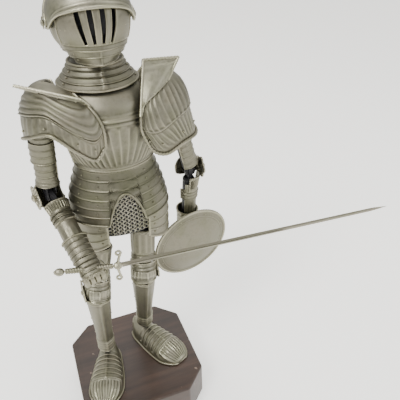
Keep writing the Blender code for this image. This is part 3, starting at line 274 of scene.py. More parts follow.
def grid_quads(nu, nv, wrap_u=False, wrap_v=False):
    i = np.arange(nu if wrap_u else nu - 1)
    j = np.arange(nv if wrap_v else nv - 1)
    i, j = np.meshgrid(i, j, indexing="ij")
    k = (i + 1) % nu
    m = (j + 1) % nv
    quads = np.stack([i * nv + j, k * nv + j, k * nv + m, i * nv + m], -1)
    return quads.reshape(-1, 4)


def grid_normals(points, wrap_u=False):
    if wrap_u:
        along_u = np.roll(points, -1, 0) - np.roll(points, 1, 0)
    else:
        along_u = np.gradient(points, axis=0)
    along_v = np.gradient(points, axis=1)
    normal = np.cross(along_u, along_v)
    length = np.linalg.norm(normal, axis=-1, keepdims=True)
    return normal / np.maximum(length, 1e-9)


class Piece:
    """Gathers closed shells in millimetres and makes one object of them."""

    def __init__(self, name):
        self.name = name
        self.points = []
        self.quads = []
        self.tris = []
        self.count = 0

    def add(self, points, quads, tris=None):
        points = np.asarray(points, float).reshape(-1, 3)
        self.quads.append(quads + self.count)
        if tris is not None:
            self.tris.append(tris + self.count)
        self.points.append(points)
        self.count += len(points)

    def skin(self, rings, first, last):
        """Closed rings of points joined one to the next, each end closed by a fan."""
        rows, sides = rings.shape[:2]
        j = np.arange(sides)
        k = (j + 1) % sides
        end = (rows - 1) * sides
        low = np.stack([np.full(sides, rows * sides), k, j], -1)
        high = np.stack([np.full(sides, rows * sides + 1), end + j, end + k], -1)
        points = np.concatenate([rings.reshape(-1, 3), [first], [last]])
        self.add(points, grid_quads(rows, sides, wrap_v=True), np.concatenate([low, high]))

    def loft(self, rings):
        rings = np.asarray(rings, float)
        self.skin(rings, rings[0].mean(0), rings[-1].mean(0))

    def sheet(self, surface, nu, nv, thickness, relief, outward, wrap=False):
        """A plate with a rounded edge. surface(u, v) is its face before the relief."""
        u, v = grid(nu + (1 if wrap else 0), nv)
        if wrap:
            u, v = u[:-1], v[:-1]
        face = surface(u, v)
        normal = grid_normals(face, wrap)
        if (normal * outward(face)).sum() < 0.0:
            normal = -normal
        lift = relief(u, v)[..., None] if relief is not None else 0.0
        outer = face + normal * lift
        inner = face - normal * thickness
        middle = (outer + inner) * 0.5
        if wrap:
            before = middle[:, :1] + (middle[:, :1] - middle[:, 1:2]) * 0.25
            after = middle[:, -1:] + (middle[:, -1:] - middle[:, -2:-1]) * 0.25
            loop = np.concatenate([before, outer, after, inner[:, ::-1]], 1)
            self.add(loop, grid_quads(nu, loop.shape[1], wrap_u=True, wrap_v=True))
            return
        top = outer.reshape(-1, 3)
        bottom = inner.reshape(-1, 3)
        quads = [grid_quads(nu, nv), grid_quads(nu, nv)[:, ::-1] + len(top)]
        around = ([(i, 0) for i in range(nu)] + [(nu - 1, j) for j in range(1, nv)]
                  + [(i, nv - 1) for i in range(nu - 2, -1, -1)]
                  + [(0, j) for j in range(nv - 2, 0, -1)])
        index = np.array([i * nv + j for i, j in around])
        centre = middle.reshape(-1, 3)
        inside = np.array([min(max(i, 1), nu - 2) * nv + min(max(j, 1), nv - 2) for i, j in around])
        edge = centre[index] + unit(centre[index] - centre[inside] + 1e-9) * (thickness * 0.35)
        ring = np.arange(len(index)) + 2 * len(top)
        following = np.roll(np.arange(len(index)), -1)
        quads.append(np.stack([index, ring, ring[following], index[following]], -1)[:, ::-1])
        quads.append(np.stack([ring, index + len(top), (index + len(top))[following],
                               ring[following]], -1)[:, ::-1])
        self.add(np.concatenate([top, bottom, edge]), np.concatenate(quads))

    def tube(self, path, radius, sides, closed=False, relief=None, hint=None):
        """A round rod along a path; relief(turn, along) scales its radius."""
        path = np.asarray(path, float)
        count = len(path)
        if closed:
            tangent = unit(np.roll(path, -1, 0) - np.roll(path, 1, 0))
        else:
            tangent = unit(np.gradient(path, axis=0))
        first = np.zeros_like(path)
        start = Z if hint is None else np.asarray(hint, float)
        if abs(tangent[0] @ unit(start)) > 0.95:
            start = X
        now = start
        for i in range(count):
            now = now - tangent[i] * (now @ tangent[i])
            now = now / np.linalg.norm(now)
            first[i] = now
        second = np.cross(tangent, first)
        radius = np.broadcast_to(np.asarray(radius, float), (count,))
        turn = np.arange(sides) * 2.0 * pi / sides
        length = np.concatenate([[0.0], np.cumsum(np.linalg.norm(np.diff(path, axis=0), axis=1))])
        scale = np.ones((count, sides)) if relief is None else relief(turn[None, :], length[:, None])
        across = first[:, None] * np.cos(turn)[None, :, None]
        upright = second[:, None] * np.sin(turn)[None, :, None]
        points = path[:, None] + (across + upright) * (radius[:, None] * scale)[..., None]
        if closed:
            self.add(points, grid_quads(count, sides, wrap_u=True, wrap_v=True))
        else:
            self.skin(points, path[0], path[-1])

    def roped(self, path, radius, pitch, depth, sides=10, closed=False):
        """A border tube with a cord's twist."""
        self.tube(path, radius, sides, closed, relief=lambda t, s: rope(t, s, pitch, depth))

    def roped_rim(self, surface, v, count, radius, pitch, depth, sides=10):
        """A roped border all round a wrapped surface, at one height v."""
        u = np.linspace(0.0, 1.0, count, endpoint=False)
        self.roped(surface(u, np.full(count, v)), radius, pitch, depth, sides, closed=True)

    def edges(self, surface, names, count, radius, sides=8):
        """Plain round edges along the named sides of a surface."""
        for name in names.split():
            self.tube(edge_of(surface, name, count), radius, sides)

    def lathe(self, centre, axis, profile, sides, relief=None):
        """Turn (radius, height) points about an axis; relief(turn, height) adds to the radius."""
        axis = unit(axis)
        hint = Y if abs(axis @ Y) < 0.9 else X
        first = unit(hint - axis * (hint @ axis))
        second = np.cross(axis, first)
        profile = np.asarray(profile, float)
        turn = np.arange(sides) * 2.0 * pi / sides
        way = between(first, second, turn)
        radius = profile[:, 0][:, None] * np.ones((1, sides))
        if relief is not None:
            radius = radius + relief(turn[None, :], profile[:, 1][:, None])
        points = centre + way[None] * radius[..., None] + axis * profile[:, 1][:, None, None]
        self.skin(points, centre + axis * profile[0, 1], centre + axis * profile[-1, 1])

    def rivet(self, spot, way, radius, height):
        """A round-headed rivet that sits a little way into its plate."""
        bow = np.linspace(0.0, pi / 2.0 - 0.15, 4)
        profile = [(radius, -0.5)] + [(radius * cos(a), height * sin(a)) for a in bow]
        self.lathe(np.asarray(spot, float), way, profile, sides=10)

    def rivets(self, surface, us, vs, guide, radius, height, lift=0.0):
        """A rivet at each u and v of a surface, pointing along guide(spot)."""
        for u in us:
            for v in vs:
                spot = point_at(surface, u, v)
                way = unit(guide(spot))
                self.rivet(spot + way * lift, way, radius, height)

    def make(self, body, material, replaces=(), smooth=40.0):
        points = np.concatenate(self.points)
        points = (points + np.array([0.0, 0.0, BASE_TOP])) * MM
        quads = np.concatenate(self.quads)
        tris = np.concatenate(self.tris) if self.tris else np.zeros((0, 3), int)
        mesh = bpy.data.meshes.new(self.name)
        mesh.vertices.add(len(points))
        mesh.vertices.foreach_set("co", points.ravel())
        mesh.loops.add(4 * len(quads) + 3 * len(tris))
        mesh.loops.foreach_set("vertex_index", np.concatenate([quads.ravel(), tris.ravel()]))
        starts = np.concatenate([4 * np.arange(len(quads)), 4 * len(quads) + 3 * np.arange(len(tris))])
        mesh.polygons.add(len(starts))
        mesh.polygons.foreach_set("loop_start", starts)
        mesh.update(calc_edges=True)
        mesh.validate()
        bm = bmesh.new()
        bm.from_mesh(mesh)
        bmesh.ops.recalc_face_normals(bm, faces=bm.faces)
        bm.to_mesh(mesh)
        bm.free()
        mesh.shade_smooth()
        mesh.set_sharp_from_angle(angle=radians(smooth))
        mark_relief(mesh)
        made = add_object(self.name, mesh)
        made.data.materials.append(material)
        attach(made, body)
        if replaces:
            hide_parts(*replaces)
        return made


def mark_relief(mesh, gain=2.2, rounds=2):
    """Store how far each point stands proud of its neighbours, for the antiquing."""
    count = len(mesh.vertices)
    points = np.empty(count * 3)
    normals = np.empty(count * 3)
    mesh.vertices.foreach_get("co", points)
    mesh.vertices.foreach_get("normal", normals)
    points = points.reshape(-1, 3)
    normals = normals.reshape(-1, 3)
    edges = np.empty(len(mesh.edges) * 2, int)
    mesh.edges.foreach_get("vertices", edges)
    a, b = edges.reshape(-1, 2).T
    gap = points[b] - points[a]
    length = np.maximum(np.linalg.norm(gap, axis=1), 1e-7)
    rise = np.bincount(a, (gap * normals[a]).sum(1) / length, count)
    rise += np.bincount(b, -(gap * normals[b]).sum(1) / length, count)
    links = np.maximum(np.bincount(a, minlength=count) + np.bincount(b, minlength=count), 1)
    rise = rise / links
    for _ in range(rounds):
        spread = np.bincount(a, rise[b], count) + np.bincount(b, rise[a], count)
        rise = 0.5 * rise + 0.5 * spread / links
    layer = mesh.attributes.new("relief", "FLOAT", "POINT")
    layer.data.foreach_set("value", np.clip(0.5 - gain * rise, 0.0, 1.0))


def paint_node(node, material):
    mesh = frame["nodes"][node].data
    mesh.materials.clear()
    mesh.materials.append(material)


def rope(turn, along, pitch, depth):
    """Radius factor of a twisted cord border."""
    return 1.0 + depth * np.cos(3.0 * turn + 2.0 * pi * along / pitch)


def edge_of(surface, side, count):
    """Points along one side of a surface: u0, u1, v0 or v1."""
    t = np.linspace(0.0, 1.0, count)
    fixed = np.full(count, float(side[1]))
    return surface(fixed, t) if side[0] == "u" else surface(t, fixed)


def smooth_line(points, count):
    """Catmull-Rom through points, evenly spaced in parameter."""
    points = np.asarray(points, float)
    padded = np.concatenate([2.0 * points[:1] - points[1:2], points, 2.0 * points[-1:] - points[-2:-1]])
    t = np.linspace(0.0, len(points) - 1.0, count)
    i = np.minimum(t.astype(int), len(points) - 2)
    s = (t - i)[:, None]
    p0, p1, p2, p3 = padded[i], padded[i + 1], padded[i + 2], padded[i + 3]
    return 0.5 * (2.0 * p1 + (p2 - p0) * s + (2.0 * p0 - 5.0 * p1 + 4.0 * p2 - p3) * s ** 2
                  + (3.0 * p1 - p0 - 3.0 * p2 + p3) * s ** 3)


def point_at(surface, u, v):
    """One point of a surface."""
    return surface(np.array([u]), np.array([v]))[0]


def read_line(points, t):
    """smooth_line's curve, read at an array of places from 0 to 1."""
    points = np.asarray(points, float)
    fine = smooth_line(points, 200)
    at = np.clip(t, 0.0, 1.0) * 199.0
    return np.stack([np.interp(at, np.arange(200), fine[:, k]) for k in range(fine.shape[1])], -1)


def between(first, second, turn):
    """The direction first turned towards second."""
    return first * np.cos(turn)[..., None] + second * np.sin(turn)[..., None]


def smoothstep(t):
    t = np.clip(t, 0.0, 1.0)
    return t * t * (3.0 - 2.0 * t)


def window(t, start, rise, end, fall):
    """0 outside two places and 1 between them, with a soft step at each."""
    return smoothstep((t - start) / rise) * smoothstep((end - t) / fall)


def side_fade(u, half, fall):
    """1 over the middle of a plate and 0 at both of its sides."""
    return smoothstep((half - np.abs(u - 0.5)) / fall)


def scallops(phase, depth):
    """Sharp ridges between hollow flutes."""
    return depth * (0.72 - np.abs(np.sin(phase)))


def lames(v, count, step):
    """Overlapping hoops: each stands out towards its free edge, with a small bead there."""
    t = v * count
    part = t - np.floor(np.minimum(t, count - 1e-6))
    return step * (part ** 1.5) + 0.55 * step * np.exp(-((part - 0.94) / 0.06) ** 2) - 0.4 * step


def stack(x, y, z):
    return np.stack(np.broadcast_arrays(x, y, z), -1).astype(float)


def bead(v, at, width):
    return np.exp(-((v - at) / width) ** 2)


def towards(way):
    """A guide for sheet() that points the same way everywhere."""
    return lambda points: np.broadcast_to(way, points.shape)


def away_from(centre, level=False):
    """An outward-pointing guide for sheet(): away from a point, or from its upright line."""
    centre = np.asarray(centre, float)
    keep = np.array([1.0, 1.0, 0.0 if level else 1.0])
    return lambda points: (points - centre) * keep


def hoop(piece, start, end, shape, nu, nv, thickness, relief, hint=-Y, span=None):
    """A tubular plate from start to end; shape(turn, v) gives its radius, turn 0 facing the hint.

    A span in degrees leaves it open behind, reaching that far to each side of the hint.
    """
    start = np.asarray(start, float)
    end = np.asarray(end, float)
    way = unit(end - start)
    first = unit(hint - way * (hint @ way))
    second = np.cross(way, first)

    def surface(u, v):
        turn = 2.0 * pi * u if span is None else np.radians(span) * (2.0 * u - 1.0)
        spot = start + (end - start) * v[..., None]
        return spot + between(first, second, turn) * shape(turn, v)[..., None]

    piece.sheet(surface, nu, nv, thickness, relief,
                outward=lambda points: points - (start + way * ((points - start) @ way)[..., None]),
                wrap=span is None)
    return surface


# ---------------------------------------------------------------- plinth

def make_base():
    """The plinth: a square with cut corners, its arrises softened by hand."""
    low, high = box_mm("wooden_base")
    half = high[0]
    inset = half - 22.0
    corners = np.array([(half, -inset), (half, inset), (inset, half), (-inset, half),
                        (-half, inset), (-half, -inset), (-inset, -half), (inset, -half)])
    outline = []
    for corner, before, after in zip(corners, np.roll(corners, 1, 0), np.roll(corners, -1, 0)):
        near = corner + unit(before - corner) * 1.6
        far = corner + unit(after - corner) * 1.6
        for t in np.linspace(0.0, 1.0, 5):
            outline.append((1 - t) ** 2 * near + 2 * t * (1 - t) * corner + t ** 2 * far)
    outline = np.array(outline)
    profile = [(2.4, low[2]), (0.9, low[2] + 0.3), (0.0, low[2] + 1.2), (0.0, -1.9)]
    profile += [(1.9 * (1.0 - cos(a)), -1.9 * (1.0 - sin(a))) for a in np.linspace(0.2, pi / 2, 7)]
    profile += [(6.0, 0.0), (24.0, 0.0)]
    rings = []
    for shrink, z in profile:
        flat = outline * ((half - shrink) / half)
        rings.append(np.column_stack([flat, np.full(len(flat), z)]))
    piece = Piece("plinth")
    piece.loft(rings)
    piece.make("stand", WOOD, ["wooden_base"], smooth=32.0)


# ---------------------------------------------------------------- torso

TORSO_X = 5.5
TORSO_SECTIONS = np.array((
    # height, centre x, half width, front depth, back depth
    (184.0, 5.5, 33.0, 22.0, 24.0), (194.0, 5.5, 40.0, 31.0, 31.0), (210.0, 5.5, 39.5, 32.0, 30.0),
    (226.0, 5.5, 36.0, 30.5, 27.0), (240.0, 6.0, 31.0, 27.0, 23.0), (249.0, 6.0, 29.5, 26.0, 22.0),
    (258.0, 6.0, 31.5, 30.0, 24.0), (272.0, 6.0, 34.5, 34.5, 28.0), (288.0, 6.0, 35.5, 36.0, 29.0),
    (302.0, 5.0, 33.0, 32.0, 28.0), (311.0, 3.0, 26.0, 25.0, 24.0), (316.0, 2.0, 17.0, 17.0, 17.0)))
HEIGHTS = np.arange(184.0, 316.5, 0.5)
WAIST_Z = 249.0
BAND_Z = 293.5
FAULD_LOW = 201.0
FAULD_TOP = WAIST_Z - 1.8
TORSO_FLOOR = 194.0  # below this the mail hangs straight
FAULD_ARCH = 229.0


def smoothed(column, spread=9):
    values = np.interp(HEIGHTS, TORSO_SECTIONS[:, 0], TORSO_SECTIONS[:, column])
    kernel = np.hanning(2 * spread + 1)
    padded = np.pad(values, spread, mode="edge")
    return np.convolve(padded, kernel / kernel.sum(), mode="valid")


TORSO_CURVES = [smoothed(column) for column in (1, 2, 3, 4)]


def torso(angle, z, grow):
    """A point on the torso; angle 0 is the front and turns towards the figure's left."""
    centre, width, front, back = (np.interp(z, HEIGHTS, curve) for curve in TORSO_CURVES)
    depth = np.where(np.cos(angle) > 0.0, front, back)
    return stack(centre + (width + grow) * np.sin(angle), -(depth + grow) * np.cos(angle), z)


TORSO_OUT = away_from((TORSO_X, 0.0, 0.0), level=True)
FACE_GROW = 2.9


def make_breastplate():
    piece = Piece("breastplate")

    def upper(u, v):
        angle = np.radians(-76.0 + 152.0 * u)
        top = 312.0 + 1.2 * bead(u, 0.5, 0.3)
        return torso(angle, BAND_Z + 0.4 + v * (top - BAND_Z), FACE_GROW)

    piece.sheet(upper, 96, 30, 1.0, lambda u, v: 0.35 * bead(v, 0.10, 0.05), TORSO_OUT)
    piece.roped(edge_of(upper, "v1", 110), 1.15, 2.4, 0.16)
    piece.edges(upper, "u0 u1", 40, 1.0)
    piece.rivets(upper, (0.035, 0.965), (0.2, 0.55, 0.85), TORSO_OUT, 0.8, 0.6)
    piece.make("stand", PEWTER, ["breastplate"])


def make_plackart():
    """Lower breast with flutes fanning up from the waist to a banded top edge."""
    piece = Piece("plackart")

    def belly(u, v):
        angle = np.radians(-79.0 + 158.0 * u)
        low = WAIST_Z + 1.2 * (1.0 - np.cos(angle))
        top = BAND_Z + 1.2 * bead(u, 0.5, 0.16)
        return torso(angle, low + v * (top - low), FACE_GROW)

    def fluting(u, v):
        spread = (u - 0.5) / (0.52 + 0.50 * v)
        inside = window(v, 0.05, 0.10, 0.86, 0.05)
        sides = side_fade(u, 0.47, 0.03)
        flutes = scallops(pi * 13.0 * spread, 1.0) * inside * sides
        band = 0.55 * bead(v, 0.90, 0.018) + 0.75 * bead(v, 0.965, 0.022) + 0.5 * bead(v, 0.03, 0.02)
        return flutes + band

    piece.sheet(belly, 240, 64, 1.0, fluting, TORSO_OUT)
    piece.roped(edge_of(belly, "v0", 90), 1.2, 2.6, 0.16)
    piece.edges(belly, "u0 u1", 60, 0.9)
    piece.make("stand", PEWTER, ["plackart"])


def make_backplate():
    piece = Piece("backplate")

    def back(u, v):
        armhole = 17.0 * smoothstep((v - 0.25) / 0.3)
        angle = np.radians(82.0 + armhole + (196.0 - 2.0 * armhole) * u)
        top = 311.5 - 3.0 * bead(u, 0.5, 0.2)
        return torso(angle, WAIST_Z + 1.0 + v * (top - WAIST_Z), FACE_GROW)

    def fluting(u, v):
        spread = (u - 0.5) / (0.40 + 0.62 * v)
        inside = window(v, 0.06, 0.08, 0.80, 0.06)
        sides = side_fade(u, 0.45, 0.03)
        return (scallops(pi * 11.0 * spread, 0.9) * inside * sides
                + 0.5 * bead(v, 0.86, 0.02) + 0.4 * bead(v, 0.03, 0.02))

    piece.sheet(back, 200, 64, 1.0, fluting, TORSO_OUT)
    piece.roped(edge_of(back, "v1", 80), 1.1, 2.4, 0.16)
    piece.tube(edge_of(back, "v0", 80), 1.0, 10)
    piece.edges(back, "u0 u1", 60, 0.9)
    piece.make("stand", PEWTER, ["backplate"])


def make_fauld():
    """Waist hoops cut up into an arch in front, with a roped edge."""
    piece = Piece("fauld")

    def skirt(u, v):
        angle = 2.0 * pi * u
        folded = np.minimum(angle, 2.0 * pi - angle)
        rise = np.maximum(np.cos(np.minimum(folded / radians(20.0), 1.0) * pi / 2.0), 0.0) ** 0.6
        low = FAULD_LOW + (FAULD_ARCH - FAULD_LOW) * rise
        return torso(angle, FAULD_TOP + v * (low - FAULD_TOP), 3.2)

    def hoops(u, v):
        z = skirt(u, v)[..., 2]
        return lames((FAULD_TOP - z) / (FAULD_TOP - FAULD_LOW), 6, 0.9) - 0.2

    piece.sheet(skirt, 180, 84, 0.9, hoops, TORSO_OUT, wrap=True)
    u = np.linspace(0.0, 1.0, 240, endpoint=False)
    rim = skirt(u, np.full(240, 0.995))
    piece.roped(rim + unit(TORSO_OUT(rim)) * 0.3, 1.0, 2.4, 0.18, closed=True)
    for k in range(5):
        z = WAIST_Z - 6.0 - 7.6 * k
        for degrees in (-62.0, -34.0, 34.0, 62.0, 150.0, 210.0):
            spot = torso(np.array(radians(degrees)), np.array(z), 3.4)
            piece.rivet(spot, unit(TORSO_OUT(spot)), 0.75, 0.6)
    piece.make("stand", DARK_PEWTER, ["fauld"])


def make_tasset(side):
    """Three thigh lames below the fauld, riveted near both edges."""
    piece = Piece(side + "_tasset")

    def apron(u, v):
        angle = np.radians(25.0 + 85.0 * u) * OUTWARD[side]
        z = FAULD_LOW - 0.6 - v * (30.0 - 12.0 * np.abs(2.0 * u - 0.9) ** 2)
        edge = torso(angle, np.maximum(z, 196.0), 3.4 - 1.5 * v)
        return stack(edge[..., 0], edge[..., 1], z)

    piece.sheet(apron, 70, 60, 0.9, lambda u, v: lames(v, 3, 0.9) + 0.4 * bead(v, 0.95, 0.03),
                TORSO_OUT)
    border = np.concatenate([edge_of(apron, "u0", 40), edge_of(apron, "v1", 60)[1:-1],
                             edge_of(apron, "u1", 40)[::-1]])
    piece.roped(border, 0.9, 2.4, 0.15, 8)
    piece.rivets(apron, (0.10, 0.5, 0.90), (0.14, 0.46, 0.78), TORSO_OUT, 0.75, 0.6, lift=0.2)
    piece.make("stand", PEWTER, [side + "_tasset"])


MAIL_PITCH = 3.3
MAIL_DROP = MAIL_PITCH * 0.62
MAIL_RING = 1.75
MAIL_WIRE = 0.40
MAIL_HALF = radians(24.0)
MAIL_RADIUS = 33.0


def make_mail():
    """Linked rings hanging in rows, every other row leaning the other way."""
    piece = Piece("mail_skirt")
    low, high = box_mm("mail_skirt")
    turn = np.arange(12) * 2.0 * pi / 12.0
    section = np.arange(5) * 2.0 * pi / 5.0
    reach = (MAIL_RING + MAIL_WIRE * np.cos(section))[None, :, None]
    level_part = np.cos(turn)[:, None, None] * reach
    rising_part = np.sin(turn)[:, None, None] * reach
    depth_part = MAIL_WIRE * np.sin(section)[None, :, None]
    count = int(2.0 * MAIL_HALF * MAIL_RADIUS / MAIL_PITCH)
    for row in range(int((high[2] - low[2] - 1.0) / MAIL_DROP)):
        odd = row % 2
        lean = radians(24.0 if odd else -24.0)
        z = high[2] - 1.2 - row * MAIL_DROP
        for k in range(count):
            angle = -MAIL_HALF + 2.0 * MAIL_HALF * (k + 0.25 + 0.5 * odd) / count
            spot = torso(np.array(angle), np.array(max(z, TORSO_FLOOR)), 1.1)
            spot[2] = z
            out = unit(TORSO_OUT(spot))
            across = unit(np.cross(Z, out)) * cos(lean) + out * sin(lean)
            ring = across * level_part + Z * rising_part + np.cross(across, Z) * depth_part
            piece.add(spot + ring, grid_quads(12, 5, wrap_u=True, wrap_v=True))

    def backing(u, v):
        angle = np.radians(-26.5 + 53.0 * u)
        z = low[2] + 0.8 + v * (high[2] - low[2] - 1.6)
        spot = torso(angle, np.maximum(z, TORSO_FLOOR), 0.5)
        return stack(spot[..., 0], spot[..., 1], z)

    cloth = Piece("mail_backing")
    cloth.sheet(backing, 24, 24, 0.4, None, TORSO_OUT)
    cloth.make("stand", BLACK)
    piece.make("stand", MAIL, ["mail_skirt"])


GORGET_LOW_Z = 313.6
GORGET_TALL = 15.4


def make_gorget():
    """Flared collar of lames with a raised seam in front and rivets at its ends."""
    piece = Piece("gorget")
    neck = np.array([2.0, 0.0, 0.0])

    def collar(u, v):
        angle = 2.0 * pi * u
        radius = 20.2 + 10.4 * (1.0 - v) ** 1.3
        return neck + stack(radius * np.sin(angle), -radius * np.cos(angle), GORGET_LOW_Z + GORGET_TALL * v)

    def steps(u, v):
        front = np.minimum(u, 1.0 - u)
        seam = 0.7 * bead(front, 0.0, 0.008)
        return lames(1.0 - v, 4, 0.8) + seam

    piece.sheet(collar, 160, 56, 0.9, steps, away_from(neck, level=True), wrap=True)
    for v, size in ((0.985, 1.0), (0.015, 0.9)):
        piece.roped_rim(collar, v, 160, size, 2.2, 0.16)
    for turn in (-0.19, 0.19, -0.32, 0.32, 0.5):
        for v in (0.18, 0.43, 0.68):
            spot = point_at(collar, turn % 1.0, v)
            out = unit((spot - neck) * (1, 1, 0))
            piece.rivet(spot + out * 0.4, unit(out + 0.5 * Z), 0.85, 0.7)
    piece.make("stand", PEWTER, ["gorget"])


# ---------------------------------------------------------------- helmet

HELMET_RADIUS = 30.3
HELMET_WIDTH = 29.0
FACE_WIDE = radians(60.4)
BROW_Z = 369.0
FACE_LOW_Z = 344.0
CHIN_Z = 331.0
CROWN = radians(89.0)
SKULL_LOW_Z = 333.6
COMB_FRONT = radians(96.0)
COMB_BACK = radians(172.0)
VISOR_FOOT = radians(22.0)  # angles over the brow, from level
VISOR_TOP = radians(82.0)


def egg(longitude, latitude, grow=0.0):
    """The helmet's rounded shape; longitude 0 is the front, latitude 90 the top."""
    radius = HELMET_RADIUS + grow
    return HEAD + stack((HELMET_WIDTH + grow) * np.cos(latitude) * np.sin(longitude),
                        -radius * np.cos(latitude) * np.cos(longitude), radius * np.sin(latitude))


def latitude_at(z):
    return np.arcsin((np.asarray(z) - HEAD[2]) / HELMET_RADIUS)


def make_skull():
    """Rounded skull with flutes running back over it, a roped comb and a roped lower edge."""
    piece = Piece("helmet_skull")

    def rear(u, v):
        longitude = np.radians(62.0 + 236.0 * u)
        low = latitude_at(SKULL_LOW_Z)
        return egg(longitude, low + v * (CROWN - low), -0.9)

    def front(u, v):
        longitude = np.radians(-62.4 + 124.8 * u)
        low = latitude_at(BROW_Z + 0.3)
        return egg(longitude, low + v * (CROWN - low), -0.9)

    def rear_flutes(u, v):
        fade = window(v, 0.12, 0.08, 0.90, 0.12)
        return scallops(pi * 15.0 * u, 0.75) * fade + 0.5 * bead(v, 0.08, 0.02)

    piece.sheet(rear, 220, 56, 0.9, rear_flutes, away_from(HEAD))
    piece.sheet(front, 120, 34, 0.9, lambda u, v: 0.5 * bead(v, 0.06, 0.03), away_from(HEAD))
    comb = []
    size = []
    for a in np.linspace(COMB_FRONT, COMB_BACK, 60):
        comb.append(HEAD + np.array([0.0, -cos(a), sin(a)]) * (HELMET_RADIUS + 0.6))
        size.append(1.0 + 1.2 * max(sin((a - COMB_FRONT) / (COMB_BACK - COMB_FRONT) * pi), 0.0) ** 0.5)
    piece.tube(comb, size, 12, relief=lambda t, s: rope(t, s, 3.4, 0.16), hint=X)
    piece.roped(edge_of(rear, "v0", 120), 1.0, 2.4, 0.16)
    for side in ("u0", "u1"):
        piece.tube(edge_of(rear, side, 40)[:26], 0.7, 8)
    for longitude in np.radians(np.linspace(78.0, 282.0, 13)):
        spot = egg(longitude, latitude_at(338.5), -0.7)
        piece.rivet(spot, unit(spot - HEAD), 0.9, 0.7)
    piece.make("helmet", PEWTER, ["helmet_skull"])


def face_point(longitude, z, grow=-0.2):
    """The egg down to FACE_LOW_Z, and below it the chin drawn in and forward."""
    upper = egg(longitude, latitude_at(np.maximum(z, FACE_LOW_Z)), grow)
    top = egg(longitude, latitude_at(FACE_LOW_Z), grow)
    t = np.clip((FACE_LOW_Z - z) / (FACE_LOW_Z - CHIN_Z), 0.0, 1.0)
    shrink = 1.0 - 0.50 * t ** 2.0 * np.abs(np.sin(longitude)) - 0.12 * t
    forward = (33.0 - (HEAD[1] - top[..., 1])) * t * np.maximum(np.cos(longitude), 0.0) ** 2
    lower = stack(HEAD[0] + (top[..., 0] - HEAD[0]) * (1.0 - 0.36 * t ** 1.5),
                  HEAD[1] + (top[..., 1] - HEAD[1]) * shrink - forward, z)
    return np.where((z >= FACE_LOW_Z)[..., None], upper, lower)


GUARD_LOW_Z = 340.5
SLOT_LOW_Z = 345.0


def make_face_guard():
    """Face plate: a lower band and five bars, with the four eye slots fanning between them."""
    piece = Piece("face_guard")
    high = BROW_Z + 1.2

    def band(u, v):
        return face_point(FACE_WIDE * (2.0 * u - 1.0), GUARD_LOW_Z + v * (SLOT_LOW_Z - GUARD_LOW_Z))

    piece.sheet(band, 100, 16, 1.0, lambda u, v: 0.3 * bead(v, 0.12, 0.08), away_from(HEAD))
    slots = (-0.345, -0.115, 0.115, 0.345)

    def slot_half(v):
        return 0.052 + 0.024 * smoothstep(v * 1.4)

    bounds = [(None, slots[0])] + list(zip(slots[:-1], slots[1:])) + [(slots[-1], None)]
    for left, right in bounds:

        def bar(u, v, left=left, right=right):
            fan = 0.92 + 0.50 * v
            a = -FACE_WIDE if left is None else left * fan + slot_half(v)
            b = FACE_WIDE if right is None else right * fan - slot_half(v)
            z = SLOT_LOW_Z - 0.4 + v * (high - SLOT_LOW_Z + 0.4)
            return face_point(a + u * (b - a), z)

        wide = left is None or right is None
        piece.sheet(bar, 40 if wide else 14, 44, 1.0, lambda u, v: 0.25 * np.sin(pi * u) ** 0.7,
                    away_from(HEAD))
        piece.edges(bar, "u0 u1", 36, 0.45, 6)
    for longitude in (-0.92, -0.78, 0.78, 0.92):
        for z in (346.0, 355.0):
            spot = face_point(np.array(longitude), np.array(z))
            piece.rivet(spot, unit(spot - HEAD), 0.6, 0.5)
    piece.make("helmet", PEWTER, ["face_guard"])


def make_bevor():
    """Chin guard in lames under the face plate, with a soft keel in the middle."""
    piece = Piece("bevor")

    def chin(u, v):
        longitude = FACE_WIDE * (2.0 * u - 1.0)
        return face_point(longitude, CHIN_Z + 0.6 + v * (GUARD_LOW_Z + 0.8 - CHIN_Z - 0.6), -0.5)

    piece.sheet(chin, 110, 44, 1.0,
                lambda u, v: lames(1.0 - v, 2, 0.55) + 0.3 * bead(u, 0.5, 0.012), away_from(HEAD))
    piece.roped(edge_of(chin, "v0", 90), 0.8, 2.4, 0.10)
    piece.rivets(chin, (0.12, 0.88), (0.3, 0.75), away_from(HEAD), 0.7, 0.6)
    piece.make("helmet", PEWTER, ["bevor"])


def make_visor():
    """Raised visor with a low middle keel and a bright rolled rim, hung on its two pivots. It is made in the
    brighter pewter, a painted highlight.
    """
    piece = Piece("visor")

    def shell(u, v):
        across = (2.0 * u - 1.0) * 0.985
        edge = np.abs(across) ** 16.0
        low = VISOR_FOOT - radians(62.0) * edge
        high = VISOR_TOP + radians(95.0) * edge
        a = low + v * (high - low)
        radius = (HELMET_RADIUS + 2.1 - 1.6 * v ** 3) * np.sqrt(1.0 - across * across)
        return HEAD + stack(across * (HELMET_WIDTH + 1.7), -radius * np.cos(a), radius * np.sin(a))

    def fluting(u, v):
        fade = window(v, 0.10, 0.08, 0.90, 0.08)
        sides = side_fade(u, 0.5, 0.10)
        middle = 0.45 * bead(u, 0.5, 0.012)
        return middle * fade + (0.5 * bead(v, 0.10, 0.02) + 0.4 * bead(v, 0.90, 0.02)) * sides

    piece.sheet(shell, 240, 46, 1.0, fluting, away_from(HEAD))
    around = np.concatenate([edge_of(shell, "v0", 120), edge_of(shell, "u1", 10)[1:-1],
                             edge_of(shell, "v1", 120)[::-1], edge_of(shell, "u0", 10)[::-1][1:-1]])
    piece.roped(around, 1.15, 2.6, 0.05, closed=True)
    piece.make("visor", LIT_PEWTER, ["visor"])


